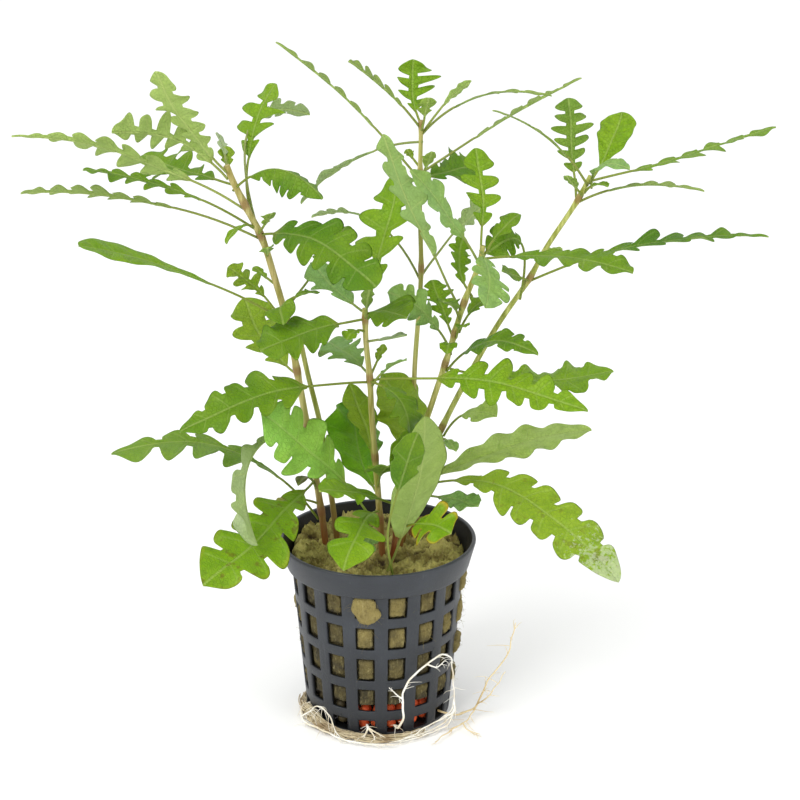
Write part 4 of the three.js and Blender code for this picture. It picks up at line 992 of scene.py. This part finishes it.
# %% The small leaves
SMALL = [
    ("left", 149, (-19, 32, 168), 13, -6, 7, -65, 0.5, 4, 0.4, "grey"),
    ("left", 121, (-9, 30, 136), 1, 1, 12, -15, 0.4, 3, 0.4, "deep"),
    ("left", 120, (-41, 4, 132), 1, 0, 11, -15, 0.3, 3, 0.5, "yellow"),
    ("left", 119, (-25, -16, 122), 4, 1, 9, 25, 0.1, 1, 0.2, "deep"),
    ("left", 146, (-77, -16, 165), 3, -2, 14, -5, 0.3, 5, 0.5, "deep",
        {"lean": 1.1, "twist": 0, "sides": (1, 0.6)}),
    ("left", 160, (-41, 4, 166), 0, 0, 5, 0, 0.3, 1, 0.3, "yellow"),
    ("left", 162, (-43, 10, 168), 1, 0, 5, 40, 0.3, 1, 0.3, "grey"),
    ("left", 145, (-28, -9, 151), 0, 0, 5, 0, 0.3, 1, 0.4, "yellow"),
    ("left", 146, (-40, -14, 144), 2, 0, 4, 20, 0.2, 1, 0.3, "bright"),
    ("left", 138, (-29, -14, 143), 0, 0, 5, 20, 0.2, 1, 0.3, "bright"),
    ("left", 129, (-34, 4, 132), 0, 0, 4, 0, 0.2, 1, 0.2, "bright"),
    ("left", 123, (-16, 6, 124), 1, 0, 5, 0, 0.2, 1, 0.3, "bright"),
    ("left", 69, (-22, -10, 73), 2, 0, 4, 0, 0.2, 1, 0.2, "brown"),
    ("left", 63, (-29, -6, 66), 1, 0, 4, 0, 0.3, 0, 0, "tan"),
    ("front", 123, (-18, 8, 132), -1, 0, 13, -5, 0.15, 2, 0.3, "blue"),
    ("front", 123, (8, -21, 125.6), 1, 0, 16, 15, 0.06, 2, 0.25, "deep", {"late": 0.9}),
    ("front", 79, (-8, 12, 95), -1, 1, 9, 0, 0.08, 2, 0.2, "yellow"),
    ("front", 103, (9, -18, 91), 3, -1, 14, -15, 0.1, 2, 0.3, "deep"),
    ("front", 123, (-2, -16, 132), 0, 0, 4, 0, 0.2, 1, 0.2, "deep"),
    ("front", 118, (-8, -14, 117), 1, 0, 6, 0, 0.2, 1, 0.4, "bright"),
    ("front", 104, (8, -16, 112), 1, 0, 6, 0, 0.2, 1, 0.2, "blue"),
    ("front", 115, (8, -16, 119), 0, 0, 6, 0, 0.2, 1, 0.2, "grey"),
    ("front", 106, (2, -3, 112), 0, 0, 4, 0, 0.3, 1, 0.3, "yellow"),
    ("front", 73, (3, -17, 81.5), 1, 0, 12, 0, 0.2, 2, 0.3, "bright"),
    ("front", 56, (-5, -20, 54), 3, 0, 7, 0, 0.2, 1, 0.3, "blue"),
    ("middle", 127, (24, 10, 139), 0, -2, 8, 35, 0.1, 4, 0.3, "bright"),
    ("middle", 115, (15, 8, 127), 0, 0, 11, 10, 0.12, 4, 0.35, "bright"),
    ("middle", 121, (18, -14, 128), 1, 0, 7, 0, 0.2, 1, 0.2, "deep"),
    ("middle", 139, (39, 4, 147), 1, 0, 8, 0, 0.2, 1, 0.3, "deep"),
    ("middle", 116, (24, -12, 120), 1, 0, 4, 0, 0.2, 0, 0, "bright"),
    ("middle", 111, (19, -14, 113), 2, 0, 5, 0, 0.2, 0, 0, "bright"),
    ("middle", 117, (30, 3, 123), 1, 0, 8, 0, 0.3, 1, 0.3, "deep"),
    ("back", 168, (26, 26, 179), 1, 0, 4, -65, 0.4, 0, 0, "pale"),
    ("back", 164, (-22, 36, 141), 4, 1, 6, 15, 0.3, 3, 0.4, "grey"),
    ("back", 128, (30, 28, 143), 1, 0, 10, -70, 0.5, 2, 0.3, "grey"),
    ("back", 127, (-19, 36, 137), 8, 0, 4.5, 28, 0.5, 4, 0.4, "grey"),
    ("back", 155, (15, 10, 163), 0, 0, 4, 0, 0.3, 0, 0, "yellow"),
    ("back", 158, (8, 20, 161), 0, 0, 4, 0, 0.3, 0, 0, "yellow"),
    ("back", 169, (14, 10, 178), 0, 0, 6, 0, 0.3, 1, 0.4, "yellow"),
    ("right", 156, (67, -12, 164), 3, 2, 7, 20, 0.15, 2, 0.2, "blue"),
    ("right", 128, (30, 0, 137), 8, 1, 11, -35, 0.4, 3, 0.4, "deep"),
    ("right", 128, (34, -6, 134), 0, 0, 7, -40, 0.2, 1, 0.2, "deep"),
    ("right", 83, (33, -6, 92), 3, 0, 9, 30, 0.35, 1, 0.3, "pale"),
    ("right", 63, (28, -12, 67.5), 0, -1, 9, 15, 0.3, 0, 0, "blue"),
    ("right", 151, (87, -12, 158), 3, 1, 5, 0, 0.2, 4, 0.5, "pale", {"tint": "olive", "wave": 0.04}),
    ("right", 153, (51, -4, 160), 0, 0, 4, 0, 0.3, 0, 0, "bright"),
    ("right", 154, (62, -4, 157), 1, 0, 4, 0, 0.2, 0, 0, "bright"),
    ("right", 132, (51, 16, 134), 0, 0, 4, 0, 0.3, 0, 0, "pale"),
    ("right", 80, (22, -2, 80), 1, 0, 4, 0, 0.3, 0, 0, "blue"),
    ("short", 69, (11, -8, 89), 2, 1, 10, 85, 0.1, 0, 0, "deep"),
    ("short", 70, (8, -13, 72), 1, 0, 7, 0, 0.2, 1, 0.2, "bright"),
    ("front", 105, (-14, 16, 106), 1, 0, 13, -10, 0.12, 3, 0.3, "blue"),
]

for stem in STEMS:
    mine = [leaf_part(leaf, 100 + i, 0.5 if leaf[5] < 9 else 0.8)
            for i, leaf in enumerate(SMALL) if leaf[0] == stem]
    if mine:
        add_piece(f"{stem}_small_leaves", together(mine), leaf_green, "leaf_bright", f"{stem}_stem")
print("small leaves:", len(SMALL))

# %% [markdown]
# ## Roots
# White roots come out of the windows: a loop at the front right, a spray at the right, a mat round the
# foot at the left and a tuft in front. The thick ones follow typed points, as the CAD solids do. From
# them grow many thin ones, worked out all at once: each is a straight start that curls and sags, kept
# above the floor.

# %% Main roots and side roots
ROOTS = {
    "root_loop": [
        [[4.7, -19.3, 3.4], [5.6, -21.8, 3.8], [7.2, -22.3, 8], [7.1, -22.3, 14], [8.2, -22.4, 17.5],
         [10.8, -22, 21], [14.5, -20.4, 23.8], [17.5, -18.8, 25.2], [19.8, -16.8, 24], [21.2, -14.8, 20.5],
         [21.4, -14.4, 15], [21.8, -14, 8], [22.2, -12.6, 2.2]],
        [[7.1, -22.3, 13], [5, -22.8, 15], [3.4, -23.4, 17.4]],
        [[13.6, -21, 23.4], [16.6, -19.9, 21.9], [19, -18, 23]],
        [[21.6, -14.2, 9], [20.6, -14, 4.9], [17.6, -15.6, 3.3], [14.8, -17.5, 2.5], [12, -19.7, 1.5],
         [9.1, -22.4, 1.2], [5.5, -24.8, 1.2]],
        [[21.9, -13.6, 7], [20.9, -14.6, 4], [18.6, -15.8, 2.2], [15.6, -18.2, 1.4], [12.6, -20.6, 1.2],
         [9.8, -22.4, 1.2], [6.6, -24, 1.2]],
        [[21.7, -14.1, 8], [21.3, -14.9, 5.2], [19.4, -15.9, 4.2], [16.4, -17.6, 3.6], [13.2, -19.6, 2.6],
         [10, -21.8, 1.4], [7.4, -23.2, 1.2]],
        [[21.9, -13.2, 5], [19.7, -15.6, 1.6], [16.6, -18.4, 1.2], [13.4, -21.2, 1.2], [10, -23.6, 1.2],
         [4, -25.4, 1.2]]],
    "root_spray": [
        [[17, -10.2, 3.4], [18.9, -10.6, 3], [22.8, -9.6, 1.6], [26, -8, 2.2], [28.3, -7.6, 3.4],
         [29.2, -8, 6], [31.2, -8, 11], [33, -8, 14], [36.3, -8, 18.6], [37.9, -8, 23.3], [39, -8, 30]],
        [[28.3, -7.6, 3.6], [31.1, -11, 7.8], [33.9, -13, 12.8], [36.2, -14, 17.5]],
        [[28, -7.7, 3], [25.6, -12, 1.3], [22.3, -16.6, 1.2]],
        [[24.4, -14, 1.2], [25.6, -18, 1.2], [29, -20.5, 1.2]],
        [[22.6, -16, 1.3], [19.4, -20.5, 1.2], [16.2, -25, 1.2]]],
    "root_mat": [
        [[-19.4, -4.8, 3.4], [-21.4, -5.2, 2.8], [-22, -8.4, 1.6], [-20.8, -13.2, 1.2], [-17.8, -16.5, 1.2],
         [-14, -20, 1.2], [-10.4, -23.2, 1.2], [-6.1, -25.2, 1.2], [-1.6, -26.6, 1.2], [4.9, -27.4, 1.2]],
        [[-21.6, -10.4, 1.6], [-19.2, -13.2, 5], [-17, -15.8, 7.6], [-15, -17.8, 7.6], [-13.3, -19, 5.8],
         [-11.9, -20.6, 2.4], [-10.6, -22.8, 1.4]]],
    "root_tuft": [
        [[-2.9, -19.2, 3.4], [-2.6, -21.2, 3.6], [-3.6, -22.4, 2], [-5, -23.2, 1.2]],
        [[-2.6, -21.1, 3.5], [-1.2, -22.8, 2], [-0.8, -24.2, 1.2]],
        [[-2.6, -21.1, 3.6], [0.2, -22.2, 2.2], [2.2, -23, 1.2]]],
}


def root_part(name, seed, count, length, spread, thick):
    """Main strands as tubes with a small waver, and thin roots that start on them and leave them sideways."""
    rng = np.random.default_rng(seed)
    parts = []
    for number, points in enumerate(ROOTS[name]):
        path = smooth_path(points, 14 * len(points))
        path = path + 0.3 * np.stack([waves(path, 5, seed + 9 + k, 6) for k in range(3)], -1) * [1, 1, 0.5]
        path[:, 2] = np.maximum(path[:, 2], 0.7)
        taper = 1 - 0.5 * np.linspace(0, 1, len(path))
        parts.append(tube(path, (thick if number == 0 else 0.7 * thick) * taper, 8))
        at = rng.integers(3, len(path) - 1, max(3, int(count * len(points) / 8)))
        ways = unit(np.gradient(path, axis=0))[at] * 0.7 + rng.normal(size=(len(at), 3)) * spread
        parts.append(thin_strands(path[at], ways, rng.uniform(0.3, 1, len(at)) * length, 0.11, rng))
    return together(parts)


def felted_mat(count=210, rng=np.random.default_rng(77)):
    """Fine roots wound round the pot's foot. Each is an arc: its angle runs on by a span, its distance from
    the axis is a start plus two waves, and so is its height. Half of them lie at the left, where they are
    heaped."""
    s = np.linspace(0, 1, 26)[None]
    half = count // 2
    first = np.concatenate([rng.normal(-66, 13, half), rng.uniform(-80, 15, count - half)])[:, None]
    span = rng.uniform(14, 48, (count, 1)) * rng.choice([-1, 1], (count, 1))
    angle = np.radians((first + span * s).clip(-104, 36))
    heaped = np.exp(-(((np.degrees(angle) + 62) / 20) ** 2))
    wander = [np.sin(s * rng.uniform(4, 13, (count, 1)) + rng.uniform(0, 6.3, (count, 1))) for _ in range(4)]
    in_front = np.exp(-(((first + 18) / 42) ** 2))
    apart = rng.gamma(2.2, 0.62, (count, 1)).clip(0.1, 3.4) * (0.35 + 0.65 * in_front)
    radius = 21.2 + apart + 0.35 * wander[0] * s + 0.2 * wander[1]
    height = 0.6 + rng.uniform(0, 0.9, (count, 1))
    height = height + heaped * rng.gamma(1.6, 0.9, (count, 1)).clip(0, 4) * (1 - apart / 5)
    height = np.maximum(height + 0.5 * wander[2] * s + 0.2 * wander[3], 0.35)
    paths = np.stack([radius * np.sin(angle), -radius * np.cos(angle), height], -1)
    thick = rng.uniform(0.11, 0.27, count)
    return together([tube(path, width * (1 - 0.6 * s[0]), 5) for path, width in zip(paths, thick)])


# %% Root materials and pieces
def root_paint(name, fresh, stained):
    """Pale skin, stained in patches, with fine rings of dirt."""
    paint = Paint(name)
    stain = paint.noise(160, 3)
    dirt = paint.noise(1800, 2)
    colour = paint.mix(paint.ramp(stain, 0.4, 0.7), fresh, stained)
    colour = paint.mix(paint.ramp(dirt, 0.6, 0.8) * 0.4, colour, hue(150, 116, 70))
    return paint.finish(colour, 0.45 + stain * 0.2, dirt, 0.0002)


white_root = root_paint("white_root", hue(246, 243, 232), hue(222, 208, 176))
straw_root = root_paint("straw_root", hue(230, 212, 168), hue(204, 176, 122))
felt_root = root_paint("felt_root", hue(208, 194, 160), hue(156, 134, 98))

for seed, (name, count, length, spread, thick, skin_paint) in enumerate([
        ("root_loop", 15, 3.4, [0.8, 0.3, 0.5], 0.34, white_root),
        ("root_spray", 9, 8.0, [0.5, 0.4, 0.25], 0.3, straw_root),
        ("root_mat", 26, 5.0, [0.5, 0.4, 0.15], 0.34, white_root),
        ("root_tuft", 12, 4.0, [0.9, 0.4, 0.2], 0.38, white_root)]):
    part = root_part(name, seed, count, length, spread, thick)
    piece = add_piece(f"{name}_strands", part, skin_paint, "root", name)
    print(name, len(piece.data.polygons), "faces")
mat = add_piece("root_felt", felted_mat(), felt_root, "root", "root_mat")
print("felt:", len(mat.data.polygons), "faces")

# %% [markdown]
# ## Floor and light
# The plant stands on a plain pale floor in soft light from all round, as on a light table: a bright
# world, a broad lamp up on the left in front and a weaker one on the right. Nothing here is part of the
# object.

# %% Floor, world and lamps
floor_mesh = bpy.data.meshes.new("floor")
floor_mesh.from_pydata([(-8, -8, 0), (8, -8, 0), (8, 8, 0), (-8, 8, 0)], [], [(0, 1, 2, 3)])
floor = bpy.data.objects.new("floor", floor_mesh)
bpy.context.scene.collection.objects.link(floor)
paint = Paint("pale_floor")
dust = paint.noise(3, 2)
floor_mesh.materials.append(paint.finish(paint.mix(dust, (0.93, 0.93, 0.93, 1), (0.95, 0.95, 0.95, 1)), 0.9))

world = bpy.data.worlds.new("bright_room")
world.use_nodes = True
world.node_tree.nodes["Background"].inputs[0].default_value = (1, 1, 1, 1)
world.node_tree.nodes["Background"].inputs[1].default_value = 0.95
bpy.context.scene.world = world
bpy.context.scene.view_settings.view_transform = "Standard"


def add_lamp(name, place, aim, size, power):
    """A square soft lamp at a place, turned so that it shines at a point."""
    data = bpy.data.lights.new(name, "AREA")
    data.size, data.energy = size, power
    lamp = bpy.data.objects.new(name, data)
    lamp.location = place
    from_lamp = Vector(aim) - Vector(place)
    lamp.rotation_euler = from_lamp.to_track_quat("-Z", "Y").to_euler()
    bpy.context.scene.collection.objects.link(lamp)


add_lamp("key", (-0.9, -1.0, 1.3), (0, 0, 0.1), 0.9, 18)
add_lamp("fill", (1.1, -0.8, 0.8), (0, 0, 0.1), 0.9, 5)
print("lamps: 2")
